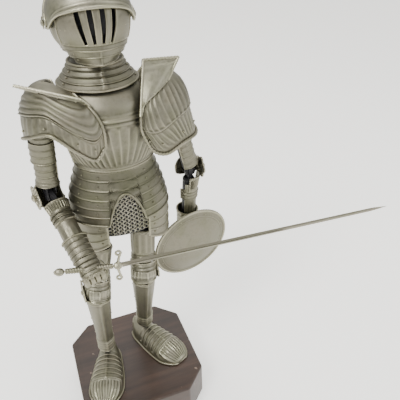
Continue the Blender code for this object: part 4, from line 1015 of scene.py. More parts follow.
def make_pivots():
    piece = Piece("visor_pivots")
    for way in (-1.0, 1.0):
        axis = X * way
        start = HELMET_WIDTH + 1.2
        profile = [(2.0, start - 4.0), (2.0, start + 1.2), (3.9, start + 1.3), (4.1, start + 1.8),
                   (3.5, start + 2.2), (2.2, start + 2.3), (1.9, start + 2.9), (0.9, start + 3.3),
                   (0.2, start + 3.4)]
        piece.lathe(HEAD, axis, profile, 40,
                    relief=lambda t, h: 0.35 * np.cos(8.0 * t) * (h > start + 1.25) * (h < start + 2.25))
    piece.make("helmet", LIT_PEWTER, ["visor_pivot_rod"])


# ---------------------------------------------------------------- shoulders

PAULDRON_ROWS = {
    # towards the neck, y around the dome's centre, height of the lower edge
    "right": np.array((
        (11.0, 32.0, 270.0), (-5.0, 29.0, 266.0), (-18.0, 17.0, 268.0), (-22.0, 1.0, 276.0),
        (-18.0, -19.0, 284.0), (-4.0, -36.0, 290.0), (12.0, -42.0, 277.0), (25.0, -42.5, 268.0),
        (33.0, -40.0, 276.0))),
    "left": np.array((
        (11.0, 32.0, 270.0), (-5.0, 29.0, 266.0), (-20.0, 18.0, 262.0), (-25.5, 1.0, 261.0),
        (-20.0, -20.0, 263.0), (-4.0, -36.0, 265.0), (12.0, -41.5, 261.0), (22.0, -41.5, 266.0),
        (25.0, -40.0, 280.0)))}
PAULDRON_BASE = 285.0
PAULDRON_TOP = 317.5
HAUTE_FOOT = {"right": ((1.0, 0.71), (0.87, 0.83), (0.58, 0.86)),
              "left": ((1.0, 0.37), (0.93, 0.59), (0.81, 0.76), (0.62, 0.88))}
HAUTE_RIM = {"right": np.array(((-16.0, -34.0, 311.5), (-58.0, -10.0, 320.0))),
             "left": np.array(((33.4, -18.0, 328.3), (60.5, -18.0, 327.0)))}


def pauldron_shape(side):
    towards_neck = -OUTWARD[side]
    shoulder = SHOULDER[side]
    elbow = ELBOW[side]
    centre = np.array([shoulder[0] + towards_neck * 8.0, -1.0, PAULDRON_BASE - 10.0])
    splay = (elbow - shoulder) / (shoulder[2] - elbow[2])

    def dome(u, v):
        row = read_line(PAULDRON_ROWS[side], u)
        z = row[..., 2] + (PAULDRON_TOP - 0.02 - row[..., 2]) * v
        rise = np.maximum(z - PAULDRON_BASE, 0.0) / (PAULDRON_TOP - PAULDRON_BASE)
        size = np.sqrt(np.maximum(1.0 - rise * rise, 0.0))
        hang = np.maximum(PAULDRON_BASE - z, 0.0)
        return stack(centre[0] + towards_neck * row[..., 0] * size + splay[0] * hang,
                     centre[1] + row[..., 1] * size + splay[1] * hang, z)

    return dome, centre


def make_pauldron(side):
    """Big shoulder plate: flutes sweeping forward, arched lames and a roped border."""
    piece = Piece(side + "_pauldron")
    dome, centre = pauldron_shape(side)

    def fluting(u, v):
        front = smoothstep((u - 0.45) / 0.25)
        sweep = 20.0 * u + front * (5.0 * (1.0 - v) ** 1.5) + 1.2 * v
        fade = window(v, 0.05, 0.06, 0.90, 0.10)
        edge = side_fade(u, 0.5, 0.05)
        arch = 0.32 + 0.14 * np.sin(pi * np.clip(u * 1.15, 0.0, 1.0)) ** 2
        step = 0.8 * smoothstep((v - arch) / 0.012) - 0.4 + 0.5 * bead(v, arch + 0.022, 0.014)
        gap = 1.0 - 0.8 * bead(v, arch, 0.03)
        if side == "left":
            return scallops(pi * sweep, 0.75) * fade * edge * gap + step - 0.4
        along = 0.30 + 0.20 * np.sin(pi * np.clip(u * 1.1, 0.0, 1.0)) ** 2
        waves = 0.5 - 0.5 * np.cos(2.0 * pi * (v - along) / 0.115)
        folds = 0.75 * waves * smoothstep((v - along) / 0.03) * smoothstep((along + 0.46 - v) / 0.03)
        wing = scallops(pi * 26.0 * u, 0.45) * smoothstep((along - 0.05 - v) / 0.05) * fade
        return (folds * smoothstep((u - 0.25) / 0.12) + wing * smoothstep((u - 0.35) / 0.1)
                + 0.6 * bead(v, along - 0.012, 0.014) + step - 0.4) * edge

    piece.sheet(dome, 280, 100, 1.0, fluting, away_from(centre))
    border = np.concatenate([edge_of(dome, "u0", 50)[:44][::-1], edge_of(dome, "v0", 180)[1:-1],
                             edge_of(dome, "u1", 50)[:44]])
    piece.roped(border, 1.2, 2.8, 0.2, 12)
    piece.rivets(dome, (0.10, 0.27, 0.45, 0.60, 0.76, 0.88), (0.16,), away_from(centre), 0.85, 0.7, lift=0.1)
    piece.make("stand", PEWTER, [side + "_pauldron"])


def make_haute_piece(side):
    """Upright guard standing on the pauldron, from its foot line up to a rolled top edge."""
    piece = Piece(side + "_haute_piece")
    dome, centre = pauldron_shape(side)
    start, end = HAUTE_RIM[side]

    def flange(u, v):
        place = read_line(HAUTE_FOOT[side], u)
        foot = dome(place[..., 0], place[..., 1])
        foot = foot + unit(foot - centre) * 1.4
        top = start + (end - start) * u[..., None]
        bulge = (np.sin(pi * v) * np.sin(pi * np.clip(u, 0.0, 1.0)) * 1.6)[..., None]
        return foot + (top - foot) * v[..., None] + np.array([0.0, -1.0, -0.2]) * bulge

    guide = np.array([0.0, -1.0, 0.4])
    piece.sheet(flange, 110, 44, 1.0,
                lambda u, v: 0.35 * bead(v, 0.84, 0.04) + 0.3 * bead(v, 0.06, 0.03),
                towards(guide))
    rim = np.concatenate([edge_of(flange, "u0", 30), edge_of(flange, "v1", 80)[1:-1],
                          edge_of(flange, "u1", 20)[::-1]])
    piece.roped(rim, 1.1, 2.6, 0.08)
    piece.rivets(flange, (0.12, 0.4, 0.7, 0.93), (0.10,), towards(guide), 0.8, 0.8)
    piece.make("stand", LIT_PEWTER, [side + "_haute_piece"])


# ---------------------------------------------------------------- arms

ARM_TUBE = 8.9
FOREARM_TUBE = 8.2
ELBOW_CLEAR = 13.8
ELBOW_CAP = 12.6
WING_OUT = 12.2  # elbow and knee wings, from the joint
ARM_COVER = {"right": 128.0, "left": 100.0}
FOREARM_COVER = {"right": 178.0, "left": 105.0}
FAN_START = {"right": 12.4, "left": 5.5}
FAN_COVER = {"right": 84.0, "left": 60.0}
UPPER_PLATE_END = {"right": 10.5, "left": 7.0}
OUTSIDE = {side: unit(X * OUTWARD[side] - Y * 0.45) for side in OUTWARD}


def make_upper_arm(side):
    """Lames down the outside of the upper arm, open where it lies against the body."""
    shoulder = SHOULDER[side]
    elbow = ELBOW[side]
    way = unit(elbow - shoulder)
    start = shoulder + way * 3.0
    end = elbow - way * ELBOW_CLEAR
    cover = ARM_COVER[side]
    count = int(np.linalg.norm(end - start) / 5.2)
    piece = Piece(side + "_rerebrace")
    tube = hoop(piece, start, end, lambda turn, v: ARM_TUBE + 0.5 - 0.5 * v, 60, 110, 0.9,
                lambda u, v: lames(v, count, 0.5), OUTSIDE[side], cover)
    piece.edges(tube, "u0 u1", 60, 0.6, 6)
    for k in range(count):
        for u in (0.06, 0.94):
            spot = point_at(tube, u, (k + 0.45) / count)
            middle = start + way * ((spot - start) @ way)
            piece.rivet(spot, unit(spot - middle), 0.6, 0.6)
    piece.make(side + "_upper_arm", PEWTER, [side + "_rerebrace"])

    collar = Piece(side + "_arm_lames")
    start = shoulder + way * 24.0
    outer = hoop(collar, start, start + way * 17.0,
                 lambda turn, v: ARM_TUBE + 1.7 - 0.4 * v, 60, 48, 0.8,
                 lambda u, v: lames(v, 3, 0.45), OUTSIDE[side], cover - 6.0)
    collar.roped(edge_of(outer, "v1", 60), 0.7, 2.2, 0.15, 8)
    collar.make(side + "_upper_arm", PEWTER, [side + "_arm_lames"])


def make_elbow(side):
    """Elbow cap with flutes over its point, and a fluted shell wing on its outer side."""
    elbow = ELBOW[side]
    axis = ELBOW_AXIS[side]
    upper = unit(elbow - SHOULDER[side])
    lower = unit(HAND[side] - elbow)
    upper_flat = unit(upper - axis * (upper @ axis))
    lower_flat = unit(lower - axis * (lower @ axis))
    heading = np.cross(axis, -Z)
    rest = np.degrees(np.arccos(np.clip(-upper_flat @ lower_flat, -1.0, 1.0)))
    up = -upper_flat
    back = np.cross(axis, up)
    if back @ heading > 0.0:
        back = -back

    def cap(u, v):
        turn = np.radians(38.0 + (rest - 76.0 + (360.0 - 2.0 * rest)) * v)
        tilt = np.radians(-60.0 + 120.0 * u)
        return elbow + between(between(up, back, turn), axis, tilt) * ELBOW_CAP

    piece = Piece(side + "_couter")

    def fluting(u, v):
        fade = window(v, 0.10, 0.08, 0.90, 0.08)
        return (scallops(pi * 5.0 * u, 0.8) * fade + 0.5 * bead(v, 0.06, 0.03)
                + 0.5 * bead(v, 0.94, 0.03))

    piece.sheet(cap, 64, 72, 0.9, fluting, away_from(elbow))
    hoop(piece, elbow - upper * 16.0, elbow - upper * UPPER_PLATE_END[side],
         lambda turn, v: 9.3 + 0.6 * v, 80, 30, 0.8, lambda u, v: lames(v, 2, 0.4),
         OUTSIDE[side], ARM_COVER[side])
    piece.edges(cap, "v0 v1 u0 u1", 40, 0.8)
    piece.make(side + "_upper_arm", PEWTER, [side + "_couter"])

    outer = axis if axis[0] * OUTWARD[side] > 0.0 else -axis
    centre = elbow + outer * WING_OUT

    def shell(u, v):
        turn = 2.0 * pi * u
        radius = (8.8 + 1.2 * np.cos(5.0 * turn)) * (0.12 + 0.88 * v)
        cup = 1.6 * (1.0 - v ** 2) - 0.6
        return (centre + outer * cup[..., None] + heading * (radius * np.cos(turn))[..., None]
                + Z * (radius * np.sin(turn))[..., None])

    wing = Piece(side + "_elbow_wing")
    wing.sheet(shell, 160, 28, 0.8,
               lambda u, v: scallops(pi * 20.0 * u, 0.75) * window(v, 0.25, 0.2, 0.93, 0.06), towards(outer),
               wrap=True)
    wing.roped_rim(shell, 1.0, 180, 0.85, 2.2, 0.15, 8)
    wing.lathe(centre, outer, [(2.9, 0.6), (3.0, 1.9), (2.4, 2.6), (1.5, 3.2), (0.4, 3.5)], 28,
               relief=lambda t, h: 0.18 * np.cos(7.0 * t))
    wing.make(side + "_upper_arm", LIT_PEWTER, [side + "_elbow_wing"])


def make_forearm(side):
    """Slim lower cannon under a fluted fan and three lames at the elbow, and a close cuff."""
    elbow = ELBOW[side]
    hand = HAND[side]
    way = unit(hand - elbow)
    start = elbow + way * ELBOW_CLEAR
    end = hand - way * 14.0
    piece = Piece(side + "_vambrace")
    hoop(piece, start, end, lambda turn, v: FOREARM_TUBE - 0.6 * v + 0.4 * np.sin(pi * v),
         84, 60, 0.9, lambda u, v: scallops(pi * 11.0 * u, 0.30) * window(v, 0.45, 0.06, 0.9, 0.1),
         OUTSIDE[side], FOREARM_COVER[side])
    bend = X - Y * 0.9 if side == "left" else unit(SHOULDER[side] - elbow)
    bend = unit(bend - way * (bend @ way))

    def flare(turn, v):
        return 9.0 + 1.5 * (1.0 - v) ** 1.5 - 0.6 * np.abs(turn) ** 2 / 3.4

    fan = hoop(piece, elbow + way * FAN_START[side], elbow + way * 21.0, flare, 130, 44, 0.9,
               lambda u, v: scallops(pi * 13.0 * (u - 0.5) + pi / 2.0, 0.75)
               * window(v, 0.12, 0.08, 0.86, 0.1), bend, FAN_COVER[side])
    lower = hoop(piece, elbow + way * 19.5, elbow + way * 30.0,
                 lambda turn, v: 9.1 - 0.5 * v, 90, 48, 0.9,
                 lambda u, v: lames(v, 3, 0.9), bend, 118.0)
    for edge in ("v0", "u0", "u1"):
        piece.roped(edge_of(fan, edge, 60), 0.75, 2.2, 0.14, 8)
    piece.edges(lower, "v1 u0 u1", 50, 0.6)
    piece.rivets(lower, (0.05, 0.95), (0.2, 0.5, 0.8),
                 lambda spot: spot - elbow - way * ((spot - elbow) @ way), 0.7, 0.7)
    piece.make(side + "_forearm", PEWTER, [side + "_vambrace"])

    cuff = Piece(side + "_cuff")
    start = hand - way * (11.5 + 19.0)
    end = hand - way * 11.9

    def bell(turn, v):
        return 9.2 + 1.1 * (1.0 - v) ** 2.0 + 0.3 * v

    tube = hoop(cuff, start, end, bell, 84, 60, 0.9,
                lambda u, v: lames(v, 4, 0.45) + scallops(pi * 13.0 * u, 0.3) * bead(v, 0.15, 0.10))
    cuff.roped_rim(tube, 0.0, 70, 0.8, 2.2, 0.16)
    cuff.make(side + "_forearm", PEWTER, [side + "_cuff"])


def make_gauntlet(side, bar, thumb_end):
    """Closed hand: lamed back, roped knuckles, four plated fingers and a thumb on the bar."""
    hand = HAND[side]
    way = unit(hand - ELBOW[side])
    bar = unit(bar)
    flat = unit(bar - way * (bar @ way))
    back = unit(np.cross(way, flat))
    if side == "left":
        back = back if back[1] > 0.0 else -back
    elif back[2] < 0.0:
        back = -back
    piece = Piece(side + "_gauntlet")
    rings = []
    for along, wide, deep in ((-11.3, 7.6, 7.4), (-8.0, 8.6, 7.6), (-3.0, 9.0, 6.4), (2.0, 9.0, 5.0),
                              (4.6, 8.6, 3.4)):
        turns = np.linspace(0.0, 2.0 * pi, 32, endpoint=False)
        middle = hand + way * along + back * (1.2 if along < -4.0 else 1.8)
        rings.append([middle + flat * wide * cos(a) + back * deep * sin(a) for a in turns])
    piece.loft(rings)

    def back_plate(u, v):
        side_turn = np.radians(-70.0 + 140.0 * u)
        along = -11.2 + 15.6 * v
        lift = 8.7 - 0.6 * v
        return (hand + way * along[..., None] + flat * (9.8 * np.sin(side_turn))[..., None]
                + back * (lift * np.cos(side_turn) ** 0.8 + 0.6)[..., None])

    piece.sheet(back_plate, 40, 56, 0.8, lambda u, v: lames(v, 4, 0.7),
                lambda points: points - (hand - back * 4.0))
    knuckle = np.array([hand + way * 4.6 + flat * x + back * (8.0 - 0.045 * x * x)
                        for x in np.linspace(-9.2, 9.2, 40)])
    piece.roped(knuckle, 1.5, 2.3, 0.22, 12)
    for x in (-6.6, -2.2, 2.2, 6.6):
        bend = np.radians(np.linspace(72.0, -128.0, 34))
        path = [hand + flat * x + way * (7.2 * cos(a) + 0.6) + back * 6.8 * sin(a) for a in bend]
        size = 2.25 - 0.45 * np.linspace(0.0, 1.0, 34) ** 3
        piece.tube(path, size, 12, relief=lambda t, s: 1.0 + 0.13 * (s / 4.6 - np.floor(s / 4.6)) ** 2,
                   hint=flat)
        piece.rivet(hand + flat * x + way * 5.0 + back * 9.0, unit(back + way * 0.4), 0.8, 0.7)
    near = flat * thumb_end
    thumb = ((8.4, -6.0, -1.0), (10.2, 0.5, -3.0), (8.6, 6.6, -4.2), (4.4, 9.4, -3.6))
    path = smooth_line([hand + near * a + way * b + back * c for a, b, c in thumb], 30)
    piece.tube(path, np.linspace(2.9, 2.0, 30), 12,
               relief=lambda t, s: 1.0 + 0.12 * (s / 4.2 - np.floor(s / 4.2)) ** 2)
    piece.make(side + "_forearm", PEWTER, [side + "_gauntlet"])


# ---------------------------------------------------------------- legs

HEEL_REACH = 17.0
KNEE_CAP = 12.6


def foot_section(t):
    """Half width and height of the broad shoe, from heel (0) to toe (1)."""
    width = 17.5 * (0.56 + 0.44 * np.sin(pi * np.minimum(t * 0.62 + 0.05, 0.62)) ** 1.5)
    width = width * np.where(t > 0.72, np.sqrt(np.maximum(1.0 - ((t - 0.72) / 0.30) ** 2, 0.05)), 1.0)
    width = width * np.where(t < 0.18, np.sqrt(np.maximum(1.0 - ((0.18 - t) / 0.22) ** 2, 0.05)), 1.0)
    height = 22.0 * (1.0 - 0.52 * t ** 1.3)
    height = height * np.where(t > 0.8, 1.0 - 0.558 * ((t - 0.8) / 0.2) ** 2, 1.0)
    return width, height


def make_sabaton(side):
    """Broad-toed shoe: overlapping lames over the instep and a fan of flutes on the toe."""
    ankle = ANKLE[side]
    foot = np.array([ankle[0], ankle[1], 0.0])
    heading = TOE[side] - foot
    heading[2] = 0.0
    length = np.linalg.norm(heading)
    heading = unit(heading)
    across = np.array([-heading[1], heading[0], 0.0])
    piece = Piece(side + "_sabaton")
    rows, arch = 120, 56
    t = np.linspace(0.0, 1.0, rows)[:, None]
    a = np.linspace(0.0, pi, arch)[None, :]
    width, height = foot_section(t)
    step = lames(np.clip((t - 0.26) / 0.42, 0.0, 1.0), 6, 0.9) * smoothstep((t - 0.25) / 0.02)
    step = step * (1.0 - smoothstep((t - 0.68) / 0.01))
    fan = scallops(pi * (4.5 * np.cos(a) / (0.35 + 0.65 * t) + 0.5), 1.0)
    fan = fan * window(t, 0.69, 0.04, 0.985, 0.03)
    ridge = 0.5 * bead(t, 0.70, 0.012) + 0.6 * bead(t, 0.985, 0.02) + 0.4 * bead(a, pi / 2, 0.05) * (t < 0.69)
    lift = (step + fan + ridge) * np.sin(a) ** 0.3
    spot = foot + heading * (-HEEL_REACH + t * (length + HEEL_REACH))[..., None]
    up = 1.6 + np.maximum(height - 2.2, 0.6) * np.sin(a) ** 0.8
    top = (spot + across * ((width - 0.9) * np.cos(a) + lift * np.cos(a))[..., None]
           + Z * (up + lift * np.sin(a))[..., None])
    under = [top[:, -1] * (1, 1, 0) + Z * 0.45, top[:, 0] * (1, 1, 0) + Z * 0.45]
    piece.loft(np.concatenate([top, under[0][:, None], under[1][:, None]], 1))
    sole_t = np.linspace(0.0, 1.0, 60)
    wide, _ = foot_section(sole_t)
    along = -HEEL_REACH + sole_t * (length + HEEL_REACH)
    outline = np.concatenate([foot + heading * along[:, None] + across * wide[:, None],
                              (foot + heading * along[:, None] - across * wide[:, None])[::-1][1:-1]])
    piece.roped(outline + Z * 1.5, 0.95, 2.4, 0.10, 8, closed=True)
    for way in (-1.0, 1.0):
        for at in (0.30, 0.44, 0.58):
            w, h = foot_section(np.array(at))
            spot = foot + heading * (-HEEL_REACH + at * (length + HEEL_REACH))
            spot = spot + across * way * (w - 0.4) * 0.94 + Z * (1.6 + h * 0.28)
            piece.rivet(spot, unit(across * way + Z * 0.35), 0.8, 0.8)
    heel = [foot - heading * 15.5 + across * x + Z * 9.0 for x in np.linspace(-5.0, 5.0, 8)]
    piece.tube(heel, 0.6, 8)
    piece.make("stand", LIT_PEWTER, [side + "_sabaton"])


def make_leg(side):
    knee, ankle, hip = KNEE[side], ANKLE[side], HIP[side]
    shin_way = unit(ankle - knee)
    thigh_way = unit(hip - knee)

    greave = Piece(side + "_greave")
    start = knee + shin_way * 8.5
    end = ankle - shin_way * 1.0 + Z * 0.5

    def calf(turn, v):
        keel = 0.9 * bead(np.abs(np.mod(turn + pi, 2.0 * pi) - pi), 0.0, 0.16)
        muscle = 1.2 * np.sin(pi * np.clip(v * 1.3, 0.0, 1.0)) * (0.5 - 0.5 * np.cos(turn)) ** 2
        return 8.5 + 2.6 * (1.0 - smoothstep(v / 0.72)) + keel + muscle

    def greave_relief(u, v):
        seam = -0.5 * bead(np.abs(u - 0.28), 0.0, 0.008) - 0.5 * bead(np.abs(u - 0.72), 0.0, 0.008)
        return (0.6 * bead(v, 0.035, 0.012) + seam * (v < 0.78)
                + lames(np.clip((v - 0.78) / 0.22, 0.0, 1.0), 4, 0.9) * (v > 0.78))

    hoop(greave, start, end, calf, 110, 130, 0.9, greave_relief)
    for v in (0.12, 0.4, 0.68):
        for angle in (0.28, 0.72):
            turn = 2.0 * pi * angle
            first = unit(-Y - shin_way * (-Y @ shin_way))
            second = np.cross(shin_way, first)
            out = first * cos(turn) + second * sin(turn)
            spot = start + (end - start) * v + out * (calf(np.array(turn), np.array(v)) + 0.1)
            greave.rivet(spot + first * 1.2, out, 0.8, 0.6)
    greave.make("stand", PEWTER, [side + "_greave"])

    cuisse = Piece(side + "_cuisse")
    start = knee + thigh_way * 46.0
    end = knee + thigh_way * 14.0
    hoop(cuisse, start, end, lambda turn, v: 11.6 - 0.9 * v, 90, 96, 0.9,
         lambda u, v: scallops(pi * 12.0 * u, 0.55) * window(v, 0.08, 0.05, 0.72, 0.05)
         + 0.5 * bead(v, 0.03, 0.015)
         + lames(np.clip((v - 0.76) / 0.24, 0.0, 1.0), 3, 0.8) * (v > 0.76))
    cuisse.make("stand", PEWTER, [side + "_cuisse"])

    first = unit(-Y - thigh_way * (-Y @ thigh_way))
    second = np.cross(thigh_way, first)

    def cap(u, v):
        turn = np.radians(-112.0 + 224.0 * u)
        t = 2.0 * v - 1.0
        way = np.where(t[..., None] > 0.0, thigh_way, shin_way)
        spot = knee + way * (np.abs(t) * KNEE_CAP)[..., None]
        out = 11.6 + 2.5 * np.cos(t * pi / 2.0) * np.maximum(np.cos(turn), 0.0)
        return spot + between(first, second, turn) * out[..., None]

    poleyn = Piece(side + "_poleyn")

    def knee_relief(u, v):
        front = np.abs(u - 0.5)
        middle = window(v, 0.30, 0.04, 0.72, 0.04)
        keel = 0.8 * bead(front, 0.0, 0.016) * middle
        upper = lames(np.clip((1.0 - v) / 0.26, 0.0, 1.0), 2, 0.8) * (v > 0.74)
        lower = lames(np.clip(v / 0.28, 0.0, 1.0), 2, 0.8) * (v < 0.28)
        fan = scallops(pi * 15.0 * u, 0.55) * middle * smoothstep((front - 0.08) / 0.03)
        return keel + upper + lower + fan + 0.45 * middle

    poleyn.sheet(cap, 120, 72, 0.9, knee_relief, away_from(knee))
    for edge in ("v0", "v1"):
        poleyn.roped(edge_of(cap, edge, 60), 0.8, 2.2, 0.12, 8)
    outer = X * OUTWARD[side]
    centre = knee + outer * WING_OUT

    def shell(u, v):
        turn = 2.0 * pi * u
        reach = (9.8 + 1.4 * np.cos(3.0 * turn)) * (0.10 + 0.90 * v)
        cup = 1.2 * (1.0 - v) ** 0.6
        return (centre + outer * cup[..., None] - Y * (reach * 0.95 * np.cos(turn) - 0.5)[..., None]
                + Z * (reach * np.sin(turn))[..., None])

    poleyn.sheet(shell, 120, 22, 0.8,
                 lambda u, v: scallops(pi * 15.0 * u, 0.65) * window(v, 0.25, 0.2, 0.93, 0.06),
                 towards(outer), wrap=True)
    poleyn.roped_rim(shell, 1.0, 140, 0.8, 2.2, 0.12, 8)
    poleyn.lathe(centre, outer, [(2.4, 0.4), (2.5, 1.5), (1.9, 2.1), (1.0, 2.5), (0.3, 2.6)], 24)
    corner = 52.0 / 224.0
    poleyn.rivets(cap, (0.5 - corner, 0.5 + corner), (0.1, 0.9), away_from(knee), 0.8, 0.8)
    poleyn.make("stand", LIT_PEWTER, [side + "_poleyn"])


# ---------------------------------------------------------------- sword

POMMEL = np.array([-56.5, -57.0, 187.5])
GUARD = np.array([-12.5, -63.0, 184.3])
BLADE_TIP = np.array([216.0, -96.0, 200.5])
POINT_LENGTH = 16.0


def make_sword():
    grip_way = unit(GUARD - POMMEL)
    blade_way = unit(BLADE_TIP - GUARD)
    grip_length = np.linalg.norm(GUARD - POMMEL)
    length = np.linalg.norm(BLADE_TIP - GUARD)

    blade = Piece("sword_blade")
    edge = unit(Z - blade_way * (Z @ blade_way))
    flat = np.cross(blade_way, edge)
    rings = []
    for along in np.concatenate([[3.2, 3.4], np.linspace(4.0, length - POINT_LENGTH, 60),
                                 length - POINT_LENGTH + 15.7 * np.sin(np.linspace(0.1, pi / 2, 18))]):
        taper = 1.0 - 0.30 * along / length
        if along > length - POINT_LENGTH:
            taper *= max(1.0 - ((along - length + POINT_LENGTH) / 15.9) ** 1.6, 0.03)
        half_edge = 2.45 * taper
        half_flat = 0.86 * (0.3 + 0.7 * taper)
        fuller = 0.36 * smoothstep((length * 0.62 - along) / 12.0) * smoothstep((along - 5.0) / 5.0)
        ring = []
        for way in (1.0, -1.0):
            for e, f in ((1.0, 0.10), (0.62, 0.62), (0.34, 1.0), (0.20, 1.0 - fuller), (-0.20, 1.0 - fuller),
                         (-0.34, 1.0), (-0.62, 0.62), (-1.0, 0.10)):
                ring.append(edge * half_edge * e * way + flat * half_flat * f * way)
        rings.append(GUARD + blade_way * along + np.array(ring))
    blade.loft(rings)
    blade.tube([POMMEL, GUARD, GUARD + blade_way * 4.0], 0.9, 10, hint=Z)
    blade.make("sword", STEEL, ["sword_blade"], smooth=22.0)

    guard = Piece("sword_guard")
    across = unit(Z - grip_way * (Z @ grip_way))
    for way in (-1.0, 1.0):
        reach = np.linspace(0.0, 1.0, 30)
        line = [GUARD + across * way * 12.4 * t + grip_way * (2.6 * t * t) for t in reach]
        curl = [GUARD + across * way * (12.4 + 1.9 * sin(a)) + grip_way * (2.6 - 1.9 + 1.9 * cos(a))
                for a in np.linspace(0.3, 5.6, 26)]
        sizes = np.concatenate([1.0 + 0.9 * (1.0 - reach) ** 3, np.full(26, 0.9)])
        guard.tube(np.array(line + curl), sizes, 10, hint=grip_way,
                   relief=lambda t, s: 1.0 + 0.10 * np.cos(2.0 * t + 2.0 * s))
    guard.lathe(GUARD, grip_way, [(1.4, -3.1), (2.4, -2.7), (2.9, -1.6), (3.1, 0.0), (2.9, 1.6),
                                  (2.4, 2.7), (1.6, 3.1)], 32,
                relief=lambda t, h: 0.22 * np.cos(4.0 * t))
    guard.make("sword", LIT_PEWTER, ["sword_guard"])

    grip = Piece("sword_grip")
    path = [POMMEL + grip_way * s for s in np.linspace(4.4, grip_length - 3.7, 150)]
    swell = 2.0 + 0.45 * np.sin(np.linspace(0.0, pi, 150)) ** 0.7
    grip.tube(path, swell, 20, relief=lambda t, s: 1.0 + 0.08 * np.cos(t - 2.0 * pi * s / 2.0), hint=Z)
    grip.make("sword", PEWTER, ["sword_grip"])

    pommel = Piece("sword_pommel")
    bow = np.linspace(0.12, pi - 0.12, 26)
    profile = [(3.1 * sin(a) ** 0.8, -3.6 * cos(a)) for a in bow]
    pommel.lathe(POMMEL, grip_way, profile, 48,
                 relief=lambda t, h: 0.22 * (0.6 - np.abs(np.sin(5.0 * t)))
                 * np.clip(1.0 - (h / 3.4) ** 2, 0, 1))
    pommel.lathe(POMMEL - grip_way * 3.3, -grip_way, [(1.5, -0.6), (1.5, 0.5), (0.9, 1.0), (0.2, 1.1)], 20)
    pommel.make("sword", LIT_PEWTER, ["sword_pommel"])


# ---------------------------------------------------------------- shield

SHIELD_CENTRE = np.array([71.5, 2.0, 135.5])
SHIELD_NORMAL = unit(np.array([0.168, -0.974, -0.148]))
SHIELD_RADIUS = 40.6
SHIELD_DOME = 7.0


def make_shield():
    level = unit(np.cross(Z, SHIELD_NORMAL))
    upright = np.cross(SHIELD_NORMAL, level)
    flat_radius = SHIELD_RADIUS - 2.6
    sphere = (flat_radius ** 2 + SHIELD_DOME ** 2) / (2.0 * SHIELD_DOME)

    def height(radius):
        return np.sqrt(sphere ** 2 - radius ** 2) - sphere + SHIELD_DOME + 1.2

    def dish(u, v):
        turn = 2.0 * pi * u
        radius = 0.4 + (flat_radius + 0.2 - 0.4) * v
        return (SHIELD_CENTRE + SHIELD_NORMAL * height(np.minimum(radius, flat_radius))[..., None]
                + between(level, upright, turn) * radius[..., None])

    face = Piece("shield_face")
    face.sheet(dish, 160, 70, 0.9,
               lambda u, v: 0.22 * bead(v, 0.885, 0.010) - 0.12 * bead(v, 0.865, 0.008),
               towards(SHIELD_NORMAL), wrap=True)
    face.lathe(SHIELD_CENTRE + SHIELD_NORMAL * (SHIELD_DOME + 0.9), SHIELD_NORMAL,
               [(0.9, -0.8), (0.9, 0.1), (0.7, 0.3), (0.3, 0.45)], 20)
    for k in range(8):
        a = 2.0 * pi * (k + 0.5) / 8.0
        way = level * cos(a) + upright * sin(a)
        radius = flat_radius * 0.93
        spot = SHIELD_CENTRE + way * radius + SHIELD_NORMAL * (height(radius) - 0.1)
        face.rivet(spot, SHIELD_NORMAL, 0.9, 0.5)
    face.make("left_forearm", PEWTER, ["shield_face"])

    rim = Piece("shield_rim")
    turns = np.linspace(0.0, 2.0 * pi, 260, endpoint=False)
    ring = [SHIELD_CENTRE + SHIELD_NORMAL * 0.7 + (level * cos(a) + upright * sin(a)) * (SHIELD_RADIUS - 1.45)
            for a in turns]
    rim.roped(ring, 1.3, 2.78, 0.14, 14, closed=True)
    rim.make("left_forearm", LIT_PEWTER, ["shield_rim"])

    handle = Piece("shield_handle")
    behind = (HAND["left"] - SHIELD_CENTRE) @ SHIELD_NORMAL
    middle = HAND["left"] - SHIELD_NORMAL * behind
    half = 17.0
    stations = []
    for way in (-1.0, 1.0):
        trio = [middle + level * way * half + SHIELD_NORMAL * (SHIELD_DOME - 3.4),
                middle + level * way * half + SHIELD_NORMAL * (behind + 3.0),
                middle + level * way * (half - 3.0) + SHIELD_NORMAL * behind]
        stations += trio if way < 0.0 else trio[::-1]
    path = smooth_line(stations, 120)
    handle.tube(path, 1.75, 14, relief=lambda t, s: 1.0 + 0.10 * np.cos(t - 2.0 * pi * s / 2.4), hint=upright)
    for way in (-1.0, 1.0):
        foot = middle + level * way * half + SHIELD_NORMAL * (SHIELD_DOME - 3.6)
        handle.lathe(foot, -SHIELD_NORMAL, [(3.6, -1.6), (3.8, -0.4), (3.2, 0.3), (2.2, 0.9), (1.9, 1.4)], 28)
    handle.make("left_forearm", DARK_PEWTER, ["shield_handle"])


# ---------------------------------------------------------------- studio

def make_camera():
    """The photograph's own viewpoint, worked out from the plinth's perspective."""
    yaw, pitch, roll = radians(20.68), radians(33.02), radians(-1.44)
    forward = Vector((sin(yaw) * cos(pitch), cos(yaw) * cos(pitch), -sin(pitch)))
    right = Vector((cos(yaw), -sin(yaw), 0.0))
    up = right.cross(forward)
    tilted = right * cos(roll) + up * sin(roll)
    upright = up * cos(roll) - right * sin(roll)
    turn = Matrix((tilted, upright, -forward)).transposed().to_4x4()
    lens = bpy.data.cameras.new("camera")
    lens.lens = 42.56
    lens.sensor_width = 36.0
    lens.clip_start = 0.01
    camera = add_object("camera", lens)
    camera.matrix_world = Matrix.Translation((-0.05155, -0.35281, 0.4690)) @ turn
    bpy.context.scene.camera = camera


LIGHT_TARGET = Vector((0.0, 0.0, 0.2))


def make_light(name, place, size, power, colour):
    lamp = bpy.data.lights.new(name, "AREA")
    lamp.shape = "DISK"
    lamp.size = size
    lamp.energy = power
    lamp.color = colour
    made = add_object(name, lamp)
    made.location = place
    made.rotation_euler = (LIGHT_TARGET - Vector(place)).to_track_quat("-Z", "Y").to_euler()


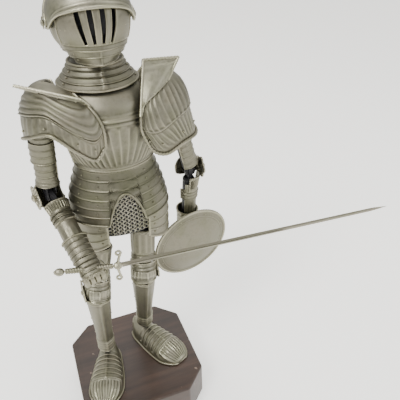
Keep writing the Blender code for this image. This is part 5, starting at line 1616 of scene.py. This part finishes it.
def make_floor():
    mesh = bpy.data.meshes.new("floor")
    reach = 3.0
    mesh.from_pydata([(-reach, -reach, 0.0), (reach, -reach, 0.0), (reach, reach, 0.0), (-reach, reach, 0.0)],
                     [], [(0, 1, 2, 3)])
    floor = add_object("floor", mesh)
    made, _, shader = new_material("pale_floor")
    set_inputs(shader, {"Base Color": (0.93, 0.925, 0.90, 1.0), "Roughness": 0.75,
                        "Emission Color": (1.0, 0.995, 0.97, 1.0), "Emission Strength": 0.66})
    floor.data.materials.append(made)
    return floor


def make_world():
    world = bpy.data.worlds.new("studio")
    world.use_nodes = True
    bpy.context.scene.world = world
    tree = world.node_tree
    shade = tree.nodes["Background"]
    way = tree.nodes.new("ShaderNodeTexCoord").outputs["Generated"]
    split = tree.nodes.new("ShaderNodeSeparateXYZ")
    tree.links.new(way, split.inputs[0])
    sky = ramp(tree, scaled(tree, split.outputs["Z"], 0.5, 0.5), (
        (0.30, (0.55, 0.54, 0.52)), (0.50, (0.34, 0.34, 0.34)), (0.62, (0.75, 0.74, 0.71)),
        (0.85, (1.0, 0.99, 0.96))))
    tree.links.new(sky, shade.inputs["Color"])
    shade.inputs["Strength"].default_value = 1.25


make_base()
make_breastplate()
make_plackart()
make_backplate()
make_fauld()
make_mail()
make_gorget()
make_skull()
make_face_guard()
make_bevor()
make_visor()
make_pivots()
for side in ("right", "left"):
    make_tasset(side)
    make_pauldron(side)
    make_haute_piece(side)
    make_upper_arm(side)
    make_elbow(side)
    make_forearm(side)
    make_sabaton(side)
    make_leg(side)
make_gauntlet("right", GRIP_WAY, 1.0)
make_gauntlet("left", np.cross(Z, SHIELD_NORMAL), -1.0)
make_sword()
make_shield()

for node in ("torso_core", "head_core", "right_leg_core", "left_leg_core", "right_upper_arm_core",
             "left_upper_arm_core", "right_forearm_core", "left_forearm_core"):
    paint_node(node, BLACK)
for node in ("shoulder_rod", "right_elbow_pin", "left_elbow_pin", "right_leg_bolt", "left_leg_bolt"):
    paint_node(node, DARK_PEWTER)

make_camera()
make_world()
make_light("key", (-0.75, -0.55, 1.35), 0.55, 16.0, (1.0, 0.985, 0.95))
make_light("fill", (0.95, -0.75, 0.75), 0.9, 4.5, (0.98, 0.99, 1.0))
make_light("top", (0.15, 0.35, 1.6), 0.8, 9.0, (1.0, 0.99, 0.96))
make_floor()
